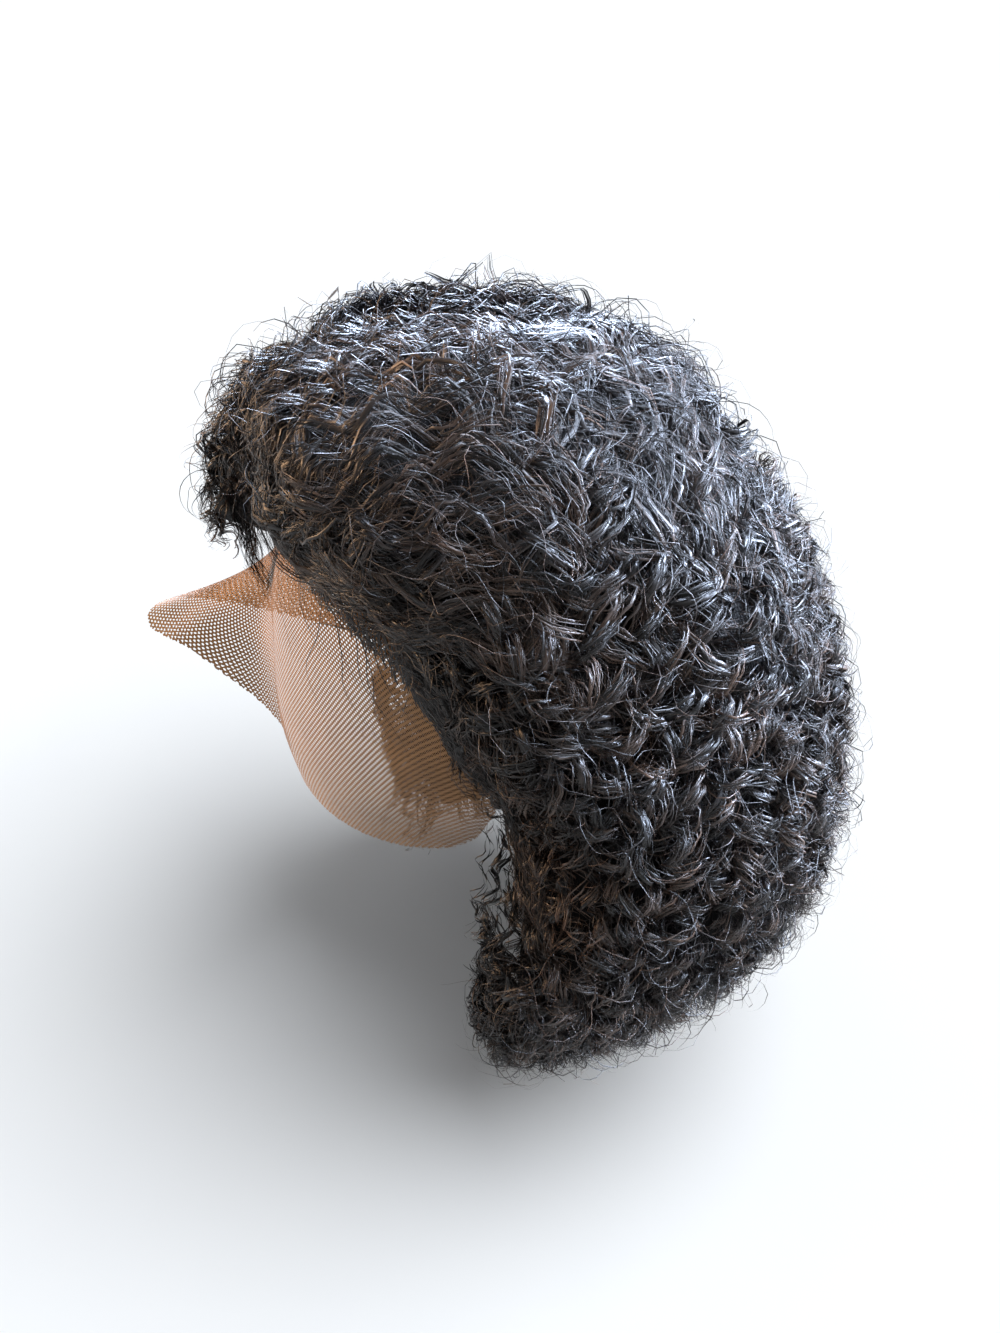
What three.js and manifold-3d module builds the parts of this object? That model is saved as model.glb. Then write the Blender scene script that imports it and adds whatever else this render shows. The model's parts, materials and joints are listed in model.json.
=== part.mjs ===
// Lace front wig: a hollow cap, a lace front and four hair sections, in millimetres.
// Origin: the inside of the crown, where the top of a head touches.
// +Z is up, -Y is forward, +X is the wearer's left. Azimuth 0 is forward and grows to the wearer's left.
import * as THREE from "three";
import { mergeVertices } from "three/addons/utils/BufferGeometryUtils.js";
import Module from "manifold-3d";

const wasm = await Module();
wasm.setup();

// The head space the cap fits: an ellipsoid above its widest level, a table below it.
const HEAD_HALF_WIDTH = 75;
const HEAD_HALF_LENGTH = 94;
const HEAD_CENTRE_Y = 4;
const CROWN_HEIGHT = 88;
const LEVEL_STEP = 1.6;
// Each row is height, then half width, front reach and back reach.
const LOWER_HEAD_ROWS = [
  [-88, 75, 90, 98],
  [-130, 72, 92, 91],
  [-165, 63, 86, 76],
  [-220, 60, 74, 66],
  [-300, 62, 74, 66],
];

// The cap: its wall, and its rim as azimuth and height.
const CAP_WALL = 1.5;
const CAP_COLUMNS = 36;
const CAP_ROWS = 8;
const RIM_ROWS = [
  [0, -42],
  [40, -62],
  [60, -95],
  [75, -126],
  [95, -100],
  [115, -116],
  [150, -152],
  [180, -158],
];

// The lace front: thickness, the band sewn over the cap, its lift off the cap and its spread to each side.
const LACE_THICKNESS = 1;
const LACE_BAND = 8;
const LACE_LIFT = 0.8;
const LACE_COLUMNS = 32;
const LACE_ROWS = 11;
const LACE_SPREAD = 74;
// The flap on the wearer's right: the azimuths over which it leaves the head space and comes back to it,
// how it sets out from the rim, and its soft folds.
const FLAP_LEAVES = [-4, 22];
const FLAP_RETURNS = [42, 58];
const FLAP_LEAD = { levels: 22, offset: 3, pull: 0.55 };
const FOLD_DEPTH = 2.4;
const FOLD_RATE = 0.42;
const FOLD_WAY = new THREE.Vector3(0.3, -0.5, 0.8);
// The edge that lies on the head space: azimuth at the root, azimuth at the edge, height of the edge.
const LACE_ON_HEAD_ROWS = [
  [74, 71, -138],
  [62, 64, -156],
  [45, 50, -163],
  [25, 28, -163],
  [8, 8, -158],
  [-8, -8, -150],
  [-40, -44, -150],
  [-62, -64, -148],
  [-74, -71, -138],
];
// The flap's edge: azimuth at the root, then x, y and z of the edge.
const LACE_FREE_ROWS = [
  [-8, -13, -96, -148],
  [-16, -22, -106, -134],
  [-25, -37, -124, -119],
  [-36, -52, -143, -107],
  [-48, -70, -112, -108],
  [-60, -78, -66, -118],
];

// The hair's outer form: height, then reach to the left, right, front and back.
const HAIR_ROWS = [
  [26, 0, 0, 0, 0],
  [22, 42, 50, 48, 38],
  [10, 74, 86, 84, 63],
  [-12, 93, 104, 110, 80],
  [-38, 107, 116, 124, 95],
  [-68, 117, 122, 126, 110],
  [-100, 125, 126, 118, 122],
  [-140, 132, 131, 110, 132],
  [-175, 135, 134, 104, 133],
  [-205, 131, 130, 98, 124],
  [-235, 118, 118, 90, 105],
  [-257, 99, 99, 80, 86],
  [-268, 80, 80, 72, 74],
];
const HAIR_POWER = 2.15;
// Where the front hair falls over the right temple it stands out further and hangs lower.
const FALL = { azimuth: -38, spread: 24, z: -72, rise: 36, reach: 20, drop: 30, dropFrom: 12, dropTo: 36 };
// The hair's head side: how far it clears the cap, and its extra lift over the lace's sewn band,
// which fades out past the lace's sides, above the band in levels and below it in levels.
const HAIR_TOP_BLEND = -60;
const HAIR_CLEARANCE = 1.3;
const HAIR_BAND_LIFT = 1.9;
const BAND_SIDES = [76, 84];
const BAND_ABOVE = [16, 9];
const BAND_BELOW = [60, 85];
// Hair depth along the hairline, as azimuth and depth: it sweeps across and falls over the right temple.
const HAIRLINE_ROWS = [
  [-50, 70],
  [-38, 66],
  [-28, 44],
  [-18, 18],
  [-6, 6],
  [50, 5],
];
// The left side's hair thins towards the face between the first two heights and is full below the third.
const TEMPLE_TOP_Z = -74;
const TEMPLE_THIN_Z = -118;
const TEMPLE_FULL_Z = -182;
const TEMPLE_SHARE = 0.42;
const TEMPLE_DEPTH = 6;
// The open edges are rounded to a share of the depth, over a share of the width, from above the temple down.
const EDGE_ROUND = 0.62;
const EDGE_ROUND_WIDTH = [-0.06, 0.16];
const EDGE_ROUND_RISE = 14;
const EDGE_ROUND_SINK = 20;
// The face opening's side edge as height and azimuth.
const FACE_EDGE_ROWS = [
  [40, 50],
  [-66, 50],
  [-80, 52],
  [-95, 60],
  [-126, 69],
  [-155, 71],
  [-190, 68],
  [-268, 65],
];

// Hair sections: name, first and last azimuth, locks across, columns of the backing.
const FRONT_SPREAD = 50;
const SIDE_SPREAD = 128;
const SECTIONS = [
  { name: "front_hair", from: -FRONT_SPREAD, to: FRONT_SPREAD, locks: 7, columns: 11, hairline: true },
  { name: "left_hair", from: FRONT_SPREAD, to: SIDE_SPREAD, locks: 7, columns: 10, openSide: 1 },
  { name: "back_hair", from: SIDE_SPREAD, to: 360 - SIDE_SPREAD, locks: 8, columns: 11 },
  { name: "right_hair", from: -SIDE_SPREAD, to: -FRONT_SPREAD, locks: 7, columns: 10, openSide: -1 },
];
const BACKING_ROWS = 14;
const SECTION_PARTING = 0.3;
// A lock: its section, its start and end on the backing, how far it sinks in, its wave and how far its end hangs.
const LOCK_SIDES = 6;
const LOCK_STEPS = 9;
const LOCK_START = 0.09;
const HAIRLINE_LOCK_END = 0.86;
const LOCK_RADIUS = 10.5;
const LOCK_FLATNESS = 0.8;
const LOCK_CROWDING = 2.1;
const LOCK_SINK = 3;
const LOCK_SINK_SHARE = 0.3;
const LOCK_DEPTH_SHARE = 0.6;
const LOCK_WAVE = 3.2;
const LOCK_WAVE_TURN = 11;
const LOCK_TAPER_FROM = 0.7;
const LOCK_TIP = 0.35;
const LOCK_MARGIN = { radii: 1.2, gap: 1.8 };
const LOCK_OVERRUN = { mean: 11, swing: 8, turn: 2.4 };
const LOCK_PHASE = { lock: 1.7, section: 0.1 };

const rad = THREE.MathUtils.degToRad;
const mix = THREE.MathUtils.lerp;
const ease = THREE.MathUtils.smoothstep;

// A smooth track through the rows of a table: every column but the first, at a value of the first.
function track(rows, at) {
  const rising = rows[0][0] < rows[rows.length - 1][0];
  const list = rising ? rows : [...rows].reverse();
  const last = list.length - 1;
  const value = Math.min(Math.max(at, list[0][0]), list[last][0]);
  let k = 0;
  while (k < last - 1 && value > list[k + 1][0]) k++;
  const span = list[k + 1][0] - list[k][0];
  const t = (value - list[k][0]) / span;
  return list[k].slice(1).map((_, c) => {
    const column = c + 1;
    const slope = (i) => {
      const low = Math.max(i - 1, 0);
      const high = Math.min(i + 1, last);
      return (list[high][column] - list[low][column]) / (list[high][0] - list[low][0]);
    };
    const a = list[k][column];
    const b = list[k + 1][column];
    const ta = slope(k) * span;
    const tb = slope(k + 1) * span;
    const t2 = t * t;
    const t3 = t2 * t;
    return (
      (2 * t3 - 3 * t2 + 1) * a +
      (t3 - 2 * t2 + t) * ta +
      (3 * t2 - 2 * t3) * b +
      (t3 - t2) * tb
    );
  });
}

// Level 0 is the crown, 90 the widest level, and below that one level is LEVEL_STEP of height.
function levelOf(z) {
  if (z < -CROWN_HEIGHT) return 90 + (-CROWN_HEIGHT - z) / LEVEL_STEP;
  return THREE.MathUtils.radToDeg(Math.acos((z + CROWN_HEIGHT) / CROWN_HEIGHT));
}

// A point at an azimuth on a level ellipse whose centre lies on the Y axis.
function onEllipse(azimuth, halfWidth, halfLength, centreY, z) {
  if (halfWidth < 1e-6) return new THREE.Vector3(0, 0, z);
  const s = Math.sin(rad(azimuth));
  const c = Math.cos(rad(azimuth));
  const a = (s / halfWidth) ** 2 + (c / halfLength) ** 2;
  const b = (c * centreY) / halfLength ** 2;
  const d = (centreY / halfLength) ** 2 - 1;
  const reach = (Math.sqrt(b * b - a * d) - b) / a;
  return new THREE.Vector3(reach * s, -reach * c, z);
}

// A point on the head space, moved out by an offset.
function headPoint(azimuth, level, offset) {
  if (level <= 90) {
    const out = Math.sin(rad(level));
    const z = (CROWN_HEIGHT + offset) * Math.cos(rad(level)) - CROWN_HEIGHT;
    const halfWidth = (HEAD_HALF_WIDTH + offset) * out;
    return onEllipse(azimuth, halfWidth, (HEAD_HALF_LENGTH + offset) * out, HEAD_CENTRE_Y * out, z);
  }
  const z = -CROWN_HEIGHT - (level - 90) * LEVEL_STEP;
  const [halfWidth, front, back] = track(LOWER_HEAD_ROWS, z);
  return onEllipse(azimuth, halfWidth + offset, (front + back) / 2 + offset, (back - front) / 2, z);
}

function rimLevel(azimuth) {
  const turned = Math.abs(((azimuth + 540) % 360) - 180);
  return levelOf(track(RIM_ROWS, turned)[0]);
}

// A closed solid from two grids of points that share their border: the outer one faces out.
function solidBetween(outer, inner, wraps) {
  const rows = outer.length;
  const columns = outer[0].length;
  const positions = [];
  const corner = (p) => positions.push(p.x, p.y, p.z);
  const triangle = (a, b, c) => {
    if (a.distanceTo(b) < 1e-6 || b.distanceTo(c) < 1e-6 || c.distanceTo(a) < 1e-6) return;
    corner(a);
    corner(b);
    corner(c);
  };
  const quad = (a, b, c, d) => {
    triangle(a, b, c);
    triangle(a, c, d);
  };
  const next = (j) => (wraps ? (j + 1) % columns : j + 1);
  const lastColumn = wraps ? columns : columns - 1;
  for (let i = 0; i < rows - 1; i++) {
    for (let j = 0; j < lastColumn; j++) {
      const k = next(j);
      quad(outer[i][j], outer[i + 1][j], outer[i + 1][k], outer[i][k]);
      quad(inner[i][j], inner[i][k], inner[i + 1][k], inner[i + 1][j]);
    }
  }
  for (let j = 0; j < lastColumn; j++) {
    const k = next(j);
    const end = rows - 1;
    quad(outer[end][j], inner[end][j], inner[end][k], outer[end][k]);
    quad(outer[0][j], outer[0][k], inner[0][k], inner[0][j]);
  }
  if (!wraps) {
    const end = columns - 1;
    for (let i = 0; i < rows - 1; i++) {
      quad(outer[i][0], inner[i][0], inner[i + 1][0], outer[i + 1][0]);
      quad(outer[i][end], outer[i + 1][end], inner[i + 1][end], inner[i][end]);
    }
  }
  const geometry = new THREE.BufferGeometry();
  geometry.setAttribute("position", new THREE.Float32BufferAttribute(positions, 3));
  return mergeVertices(geometry, 1e-3);
}

function toManifold(geometry) {
  return new wasm.Manifold(
    new wasm.Mesh({
      numProp: 3,
      vertProperties: new Float32Array(geometry.attributes.position.array),
      triVerts: new Uint32Array(geometry.index.array),
    }),
  );
}

function toGeometry(solid) {
  const mesh = solid.getMesh();
  const geometry = new THREE.BufferGeometry();
  geometry.setAttribute("position", new THREE.Float32BufferAttribute(mesh.vertProperties, 3));
  geometry.setIndex(new THREE.Uint32BufferAttribute(mesh.triVerts, 1));
  return geometry;
}

// The cap: one closed wall from the crown to the rim.
function capGeometry() {
  const grid = (offset) => {
    const rows = [];
    for (let i = 0; i <= CAP_ROWS; i++) {
      const row = [];
      for (let j = 0; j < CAP_COLUMNS; j++) {
        const azimuth = (j * 360) / CAP_COLUMNS;
        row.push(headPoint(azimuth, (rimLevel(azimuth) * i) / CAP_ROWS, offset));
      }
      rows.push(row);
    }
    return rows;
  };
  return solidBetween(grid(CAP_WALL), grid(0), true);
}

// The lace: lies on the head space on the left and in front, and stands free as a flap on the right.
function lacePoint(u, v) {
  const azimuth = mix(-LACE_SPREAD, LACE_SPREAD, u);
  const lift = CAP_WALL + LACE_LIFT + LACE_THICKNESS;
  const rim = rimLevel(azimuth);
  const root = rim - LACE_BAND / LEVEL_STEP;
  const [edgeAzimuth, edgeZ] = track(LACE_ON_HEAD_ROWS, azimuth);
  const edgeLevel = levelOf(edgeZ);
  const lying = headPoint(mix(azimuth, edgeAzimuth, v), mix(root, edgeLevel, v), lift);
  const free = ease(-azimuth, ...FLAP_LEAVES) * (1 - ease(-azimuth, ...FLAP_RETURNS));
  if (free === 0) return lying;
  const [x, y, z] = track(LACE_FREE_ROWS, azimuth);
  const start = headPoint(azimuth, root, lift);
  const lead = headPoint(azimuth, root + FLAP_LEAD.levels, lift + FLAP_LEAD.offset);
  const tip = new THREE.Vector3(x, y, z);
  const before = lead.clone().lerp(tip, FLAP_LEAD.pull);
  const curve = new THREE.CubicBezierCurve3(start, lead, before, tip);
  const fold = FOLD_DEPTH * Math.sin(azimuth * FOLD_RATE) * v * v;
  const hanging = curve.getPoint(v).addScaledVector(FOLD_WAY, fold);
  return lying.lerp(hanging, free);
}

function laceGeometry() {
  const outer = [];
  const inner = [];
  const step = 1e-3;
  for (let i = 0; i <= LACE_ROWS; i++) {
    const outerRow = [];
    const innerRow = [];
    for (let j = 0; j <= LACE_COLUMNS; j++) {
      const u = j / LACE_COLUMNS;
      const v = i / LACE_ROWS;
      const p = lacePoint(u, v);
      const du = lacePoint(Math.min(u + step, 1), v).sub(lacePoint(Math.max(u - step, 0), v));
      const dv = lacePoint(u, Math.min(v + step, 1)).sub(lacePoint(u, Math.max(v - step, 0)));
      const normal = dv.cross(du).normalize();
      outerRow.push(p);
      innerRow.push(p.clone().addScaledVector(normal, -LACE_THICKNESS));
    }
    outer.push(outerRow);
    inner.push(innerRow);
  }
  return solidBetween(outer, inner, false);
}

// A point on the hair's outer form, at a share of the way from the crown to the hem.
function hairPoint(azimuth, share) {
  const rows = HAIR_ROWS.map((row, i) => [i / (HAIR_ROWS.length - 1), ...row]);
  const [z, left, right, front, back] = track(rows, share);
  const s = Math.sin(rad(azimuth));
  const c = Math.cos(rad(azimuth));
  const side = s > 0 ? left : right;
  const along = c > 0 ? front : back;
  if (side < 1e-6) return new THREE.Vector3(0, 0, z);
  const sum = Math.abs(s / side) ** HAIR_POWER + Math.abs(c / along) ** HAIR_POWER;
  const turned = ((azimuth + 540) % 360) - 180 - FALL.azimuth;
  const fall = Math.exp(-((turned / FALL.spread) ** 2) - ((z - FALL.z) / FALL.rise) ** 2);
  const reach = sum ** (-1 / HAIR_POWER) + FALL.reach * fall;
  return new THREE.Vector3(reach * s, -reach * c, z);
}

// The head side of the hair at the same share, clear of the cap and of the lace's sewn band.
function hairFoot(azimuth, share) {
  const z = hairPoint(azimuth, share).z;
  const top = HAIR_ROWS[0][0];
  const t = (z - HAIR_TOP_BLEND) / (top - HAIR_TOP_BLEND);
  const footZ = z > HAIR_TOP_BLEND ? mix(HAIR_TOP_BLEND, 0, t) : z;
  const level = levelOf(Math.min(footZ, 0));
  const turned = Math.abs(((azimuth + 540) % 360) - 180);
  const rim = rimLevel(turned);
  const above = ease(level, rim - BAND_ABOVE[0], rim - BAND_ABOVE[1]);
  const below = ease(level, rim + BAND_BELOW[0], rim + BAND_BELOW[1]);
  const band = (1 - ease(turned, ...BAND_SIDES)) * above * (1 - below);
  return headPoint(azimuth, level, CAP_WALL + HAIR_CLEARANCE + HAIR_BAND_LIFT * band);
}

// The share of the way to the hem at which a height is reached.
function shareAt(z) {
  let low = 0;
  let high = 1;
  for (let i = 0; i < 30; i++) {
    const middle = (low + high) / 2;
    if (hairPoint(0, middle).z > z) low = middle;
    else high = middle;
  }
  return (low + high) / 2;
}

// Outer and inner points of a section: across and down both run from 0 to 1.
function sectionPoint(section, across, down, outside) {
  let azimuth = mix(section.from, section.to, across);
  let share = down;
  if (section.hairline) {
    share = down * shareAt(track(RIM_ROWS, Math.abs(azimuth))[0]);
  } else if (section.openSide) {
    const edge = Math.max(track(FACE_EDGE_ROWS, hairPoint(90, share).z)[0], FRONT_SPREAD);
    azimuth = section.openSide > 0 ? mix(edge, section.to, across) : mix(section.from, -edge, across);
  }
  const foot = hairFoot(azimuth, share);
  if (!outside) return foot;
  const point = hairPoint(azimuth, share);
  const depth = point.distanceTo(foot);
  let fill = 1;
  if (section.openSide) {
    const inward = section.openSide > 0 ? across : 1 - across;
    const rounded = mix(EDGE_ROUND, 1, ease(inward, ...EDGE_ROUND_WIDTH));
    fill = mix(1, rounded, ease(TEMPLE_TOP_Z - point.z, -EDGE_ROUND_RISE, EDGE_ROUND_SINK));
  }
  if (section.hairline) {
    const thin = Math.min(track(HAIRLINE_ROWS, azimuth)[0] / depth, 1);
    fill = mix(1, thin, ease(down, 0.5, 1));
    point.z -= FALL.drop * ease(-azimuth, FALL.dropFrom, FALL.dropTo) * down ** 3;
  } else if (section.openSide > 0) {
    const thin = mix(TEMPLE_DEPTH / depth, 1, ease(across, 0, TEMPLE_SHARE));
    const below = ease(-point.z, -TEMPLE_THIN_Z, -TEMPLE_FULL_Z);
    const above = 1 - ease(-point.z, 0, -TEMPLE_TOP_Z);
    fill *= mix(thin, 1, Math.max(below, above));
  }
  return foot.lerp(point, fill);
}

// How wide a section's outside is at one share of the way down.
function sectionWidth(section, down) {
  let width = 0;
  for (let j = 0; j < 8; j++) {
    const a = sectionPoint(section, j / 8, down, true);
    const b = sectionPoint(section, (j + 1) / 8, down, true);
    width += a.distanceTo(b);
  }
  return width;
}

// A tapered wavy lock that lies on a section and runs past its hem.
function lockGeometry(section, index) {
  const longer = LOCK_OVERRUN.mean + LOCK_OVERRUN.swing * Math.sin(index * LOCK_OVERRUN.turn + section.from);
  const overrun = section.hairline ? 0 : longer;
  const reach = section.hairline ? HAIRLINE_LOCK_END : 1;
  const phase = index * LOCK_PHASE.lock + section.to * LOCK_PHASE.section;
  const stations = [];
  for (let i = 0; i <= LOCK_STEPS; i++) {
    const t = i / LOCK_STEPS;
    const down = mix(LOCK_START, reach, t);
    const width = sectionWidth(section, down);
    const full = Math.min(LOCK_RADIUS, width / (section.locks * LOCK_CROWDING));
    const margin = (LOCK_MARGIN.radii * full + LOCK_MARGIN.gap) / width;
    const sway = (LOCK_WAVE / width) * Math.sin(phase + t * LOCK_WAVE_TURN) * ease(t, 0, 1 - LOCK_TAPER_FROM);
    const even = mix(margin, 1 - margin, index / (section.locks - 1));
    const place = Math.min(Math.max(even + sway, margin), 1 - margin);
    const centre = sectionPoint(section, place, down, true);
    const foot = sectionPoint(section, place, down, false);
    const depth = centre.distanceTo(foot);
    const out = centre.clone().sub(foot).normalize();
    const end = ease(t, LOCK_TAPER_FROM, 1);
    centre.addScaledVector(out, -Math.min(LOCK_SINK, LOCK_SINK_SHARE * depth));
    centre.z -= overrun * end;
    const radius = Math.min(full * mix(1, LOCK_TIP, end), LOCK_DEPTH_SHARE * depth);
    stations.push({ centre, out, radius });
  }
  const positions = [];
  const rings = stations.map((station, i) => {
    const before = stations[Math.max(i - 1, 0)].centre;
    const after = stations[Math.min(i + 1, LOCK_STEPS)].centre;
    const along = after.clone().sub(before).normalize();
    const side = along.clone().cross(station.out).normalize();
    const out = side.clone().cross(along).normalize();
    const ring = [];
    for (let k = 0; k < LOCK_SIDES; k++) {
      const turn = (k * 2 * Math.PI) / LOCK_SIDES;
      ring.push(
        station.centre
          .clone()
          .addScaledVector(side, station.radius * Math.cos(turn))
          .addScaledVector(out, station.radius * LOCK_FLATNESS * Math.sin(turn)),
      );
    }
    return ring;
  });
  const face = (a, b, c) => positions.push(...a.toArray(), ...b.toArray(), ...c.toArray());
  for (let i = 0; i < LOCK_STEPS; i++) {
    for (let k = 0; k < LOCK_SIDES; k++) {
      const n = (k + 1) % LOCK_SIDES;
      face(rings[i][k], rings[i + 1][k], rings[i + 1][n]);
      face(rings[i][k], rings[i + 1][n], rings[i][n]);
    }
  }
  for (let k = 1; k < LOCK_SIDES - 1; k++) {
    face(rings[0][0], rings[0][k], rings[0][k + 1]);
    face(rings[LOCK_STEPS][0], rings[LOCK_STEPS][k + 1], rings[LOCK_STEPS][k]);
  }
  const geometry = new THREE.BufferGeometry();
  geometry.setAttribute("position", new THREE.Float32BufferAttribute(positions, 3));
  return mergeVertices(geometry, 1e-3);
}

// A hair section: its locks fused to a backing that fills the room down to the cap.
function hairGeometry(section) {
  const grid = (outside) => {
    const rows = [];
    for (let i = 0; i <= BACKING_ROWS; i++) {
      const row = [];
      for (let j = 0; j <= section.columns; j++) {
        row.push(sectionPoint(section, j / section.columns, i / BACKING_ROWS, outside));
      }
      rows.push(row);
    }
    return rows;
  };
  let solid = toManifold(solidBetween(grid(true), grid(false), false));
  for (let k = 0; k < section.locks; k++) {
    solid = solid.add(toManifold(lockGeometry(section, k)));
  }
  return toGeometry(solid);
}

const MATERIALS = {
  cap: new THREE.MeshStandardMaterial({ color: 0x1b1817, roughness: 0.85 }),
  lace: new THREE.MeshStandardMaterial({ color: 0xb98a5a, roughness: 0.8 }),
  hair: new THREE.MeshStandardMaterial({ color: 0x1d1817, roughness: 0.55 }),
};

const wig = new THREE.Group();
function addNode(name, geometry, material) {
  geometry.computeVertexNormals();
  const mesh = new THREE.Mesh(geometry, material);
  mesh.name = name;
  wig.add(mesh);
  return mesh;
}

addNode("wig_cap", capGeometry(), MATERIALS.cap);
addNode("lace_front", laceGeometry(), MATERIALS.lace);
for (const section of SECTIONS) {
  const mesh = addNode(section.name, hairGeometry(section), MATERIALS.hair);
  const middle = rad((section.from + section.to) / 2);
  mesh.position.set(SECTION_PARTING * Math.sin(middle), -SECTION_PARTING * Math.cos(middle), 0);
}

export default wig;
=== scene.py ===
"""A lace front wig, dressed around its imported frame: knitted cap, lace net and curled hair."""

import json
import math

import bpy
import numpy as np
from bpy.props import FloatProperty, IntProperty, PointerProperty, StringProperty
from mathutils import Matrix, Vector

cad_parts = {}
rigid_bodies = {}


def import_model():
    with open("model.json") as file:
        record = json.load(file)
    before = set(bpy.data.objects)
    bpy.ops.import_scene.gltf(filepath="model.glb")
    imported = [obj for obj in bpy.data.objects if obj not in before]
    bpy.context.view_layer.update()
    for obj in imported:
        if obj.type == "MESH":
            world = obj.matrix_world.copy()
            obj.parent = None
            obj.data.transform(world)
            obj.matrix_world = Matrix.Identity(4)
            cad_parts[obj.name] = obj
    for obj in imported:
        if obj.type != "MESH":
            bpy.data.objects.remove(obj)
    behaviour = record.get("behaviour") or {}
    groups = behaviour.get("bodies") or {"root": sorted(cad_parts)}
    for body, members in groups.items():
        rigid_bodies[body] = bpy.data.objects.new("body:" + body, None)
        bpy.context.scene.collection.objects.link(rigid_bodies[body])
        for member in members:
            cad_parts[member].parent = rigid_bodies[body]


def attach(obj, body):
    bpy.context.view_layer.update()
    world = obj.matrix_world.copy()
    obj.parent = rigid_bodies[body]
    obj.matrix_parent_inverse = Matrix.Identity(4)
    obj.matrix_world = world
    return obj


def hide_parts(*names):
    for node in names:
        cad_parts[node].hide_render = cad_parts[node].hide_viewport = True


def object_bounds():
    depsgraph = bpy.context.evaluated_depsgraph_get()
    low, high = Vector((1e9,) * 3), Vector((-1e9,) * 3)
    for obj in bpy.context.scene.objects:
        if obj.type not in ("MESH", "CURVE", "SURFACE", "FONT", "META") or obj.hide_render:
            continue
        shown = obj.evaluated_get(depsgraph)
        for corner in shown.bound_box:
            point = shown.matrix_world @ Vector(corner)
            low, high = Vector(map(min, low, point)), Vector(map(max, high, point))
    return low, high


bl_info = {
    "name": "Lace Front Wig",
    "version": (1, 0, 0),
    "blender": (4, 5, 0),
    "location": "View3D > Sidebar > Wig",
    "description": "Dresses a lace front wig with a knitted cap, a lace net and curled hair",
    "category": "Add Mesh",
}

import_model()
CAD_BOX = [list(corner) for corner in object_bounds()]
MM = 0.001

# The wig's form in millimetres, with the same values as its solids.
# Azimuth 0 is forward and grows to the wearer's left. Level 0 is the crown and 90 the widest level.
HEAD_HALF_WIDTH = 75
HEAD_HALF_LENGTH = 94
HEAD_CENTRE_Y = 4
CROWN_HEIGHT = 88
LEVEL_STEP = 1.6
# Height, then half width, front reach and back reach.
LOWER_HEAD_ROWS = [
    (-88, 75, 90, 98),
    (-130, 72, 92, 91),
    (-165, 63, 86, 76),
    (-220, 60, 74, 66),
    (-300, 62, 74, 66),
]
CAP_WALL = 1.5
# Azimuth and height of the cap's rim.
RIM_ROWS = [
    (0, -42),
    (40, -62),
    (60, -95),
    (75, -126),
    (95, -100),
    (115, -116),
    (150, -152),
    (180, -158),
]
LACE_THICKNESS = 1
LACE_BAND = 8
LACE_LIFT = 0.8
LACE_SPREAD = 74
FLAP_LEAVES = (-4, 22)
FLAP_RETURNS = (42, 58)
FLAP_LEAD_LEVELS = 22
FLAP_LEAD_OFFSET = 3
FLAP_LEAD_PULL = 0.55
FOLD_DEPTH = 2.4
FOLD_RATE = 0.42
FOLD_WAY = np.array((0.3, -0.5, 0.8))
# Azimuth at the root, azimuth at the edge, height of the edge.
LACE_ON_HEAD_ROWS = [
    (74, 71, -138),
    (62, 64, -156),
    (45, 50, -163),
    (25, 28, -163),
    (8, 8, -158),
    (-8, -8, -150),
    (-40, -44, -150),
    (-62, -64, -148),
    (-74, -71, -138),
]
# Azimuth at the root, then x, y and z of the flap's edge.
LACE_FREE_ROWS = [
    (-8, -13, -96, -148),
    (-16, -22, -106, -134),
    (-25, -37, -124, -119),
    (-36, -52, -143, -107),
    (-48, -70, -112, -108),
    (-60, -78, -66, -118),
]
# Height, then the hair's reach to the left, right, front and back.
HAIR_ROWS = [
    (26, 0, 0, 0, 0),
    (22, 42, 50, 48, 38),
    (10, 74, 86, 84, 63),
    (-12, 93, 104, 110, 80),
    (-38, 107, 116, 124, 95),
    (-68, 117, 122, 126, 110),
    (-100, 125, 126, 118, 122),
    (-140, 132, 131, 110, 132),
    (-175, 135, 134, 104, 133),
    (-205, 131, 130, 98, 124),
    (-235, 118, 118, 90, 105),
    (-257, 99, 99, 80, 86),
    (-268, 80, 80, 72, 74),
]
HAIR_POWER = 2.15
FALL_AZIMUTH = -38
FALL_SPREAD = 24
FALL_Z = -72
FALL_RISE = 36
FALL_REACH = 20
FALL_DROP = 30
# The combed fall starts further back than the drop of its solid, at 12 to 36 degrees.
FALL_DROP_SPAN = (24, 42)
FALL_FADE_SPAN = (50, 66)
FALL_FADE_SHARE = 0.25
HAIR_TOP_BLEND = -60
HAIR_CLEARANCE = 1.3
HAIR_BAND_LIFT = 1.9
BAND_SIDES = (76, 84)
BAND_ABOVE = (-16, -9)
BAND_BELOW = (60, 85)
# Azimuth and the hair's depth along the hairline.
HAIRLINE_ROWS = [
    (-50, 70),
    (-38, 66),
    (-28, 44),
    (-18, 18),
    (-6, 6),
    (50, 5),
]
TEMPLE_TOP_Z = -74
TEMPLE_THIN_Z = -118
TEMPLE_FULL_Z = -182
TEMPLE_SHARE = 0.42
TEMPLE_DEPTH = 6
EDGE_ROUND = 0.62
EDGE_ROUND_WIDTH = (-0.06, 0.16)
EDGE_ROUND_RISE = 14
EDGE_ROUND_SINK = 20
# Height and azimuth of the face opening's side edge.
FACE_EDGE_ROWS = [
    (40, 50),
    (-66, 50),
    (-80, 52),
    (-95, 60),
    (-126, 69),
    (-155, 71),
    (-190, 68),
    (-268, 65),
]
FRONT_SPREAD = 50
SIDE_SPREAD = 128

# What the dressed wig adds to that form.
# Rows of weft stand into the cap as ridges, narrower for a higher power. The rim is rolled below its edge.
WEFT_DEPTH = 0.5
WEFT_POWER = 6
RIM_ROLL = 0.6
# Strands lie this deep over the shaded inside of the hair, or a share of its depth where it is thin.
HAIR_COVER = 8
HAIR_COVER_SHARE = 0.7
HAIR_INNER_COVER = 4
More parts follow.
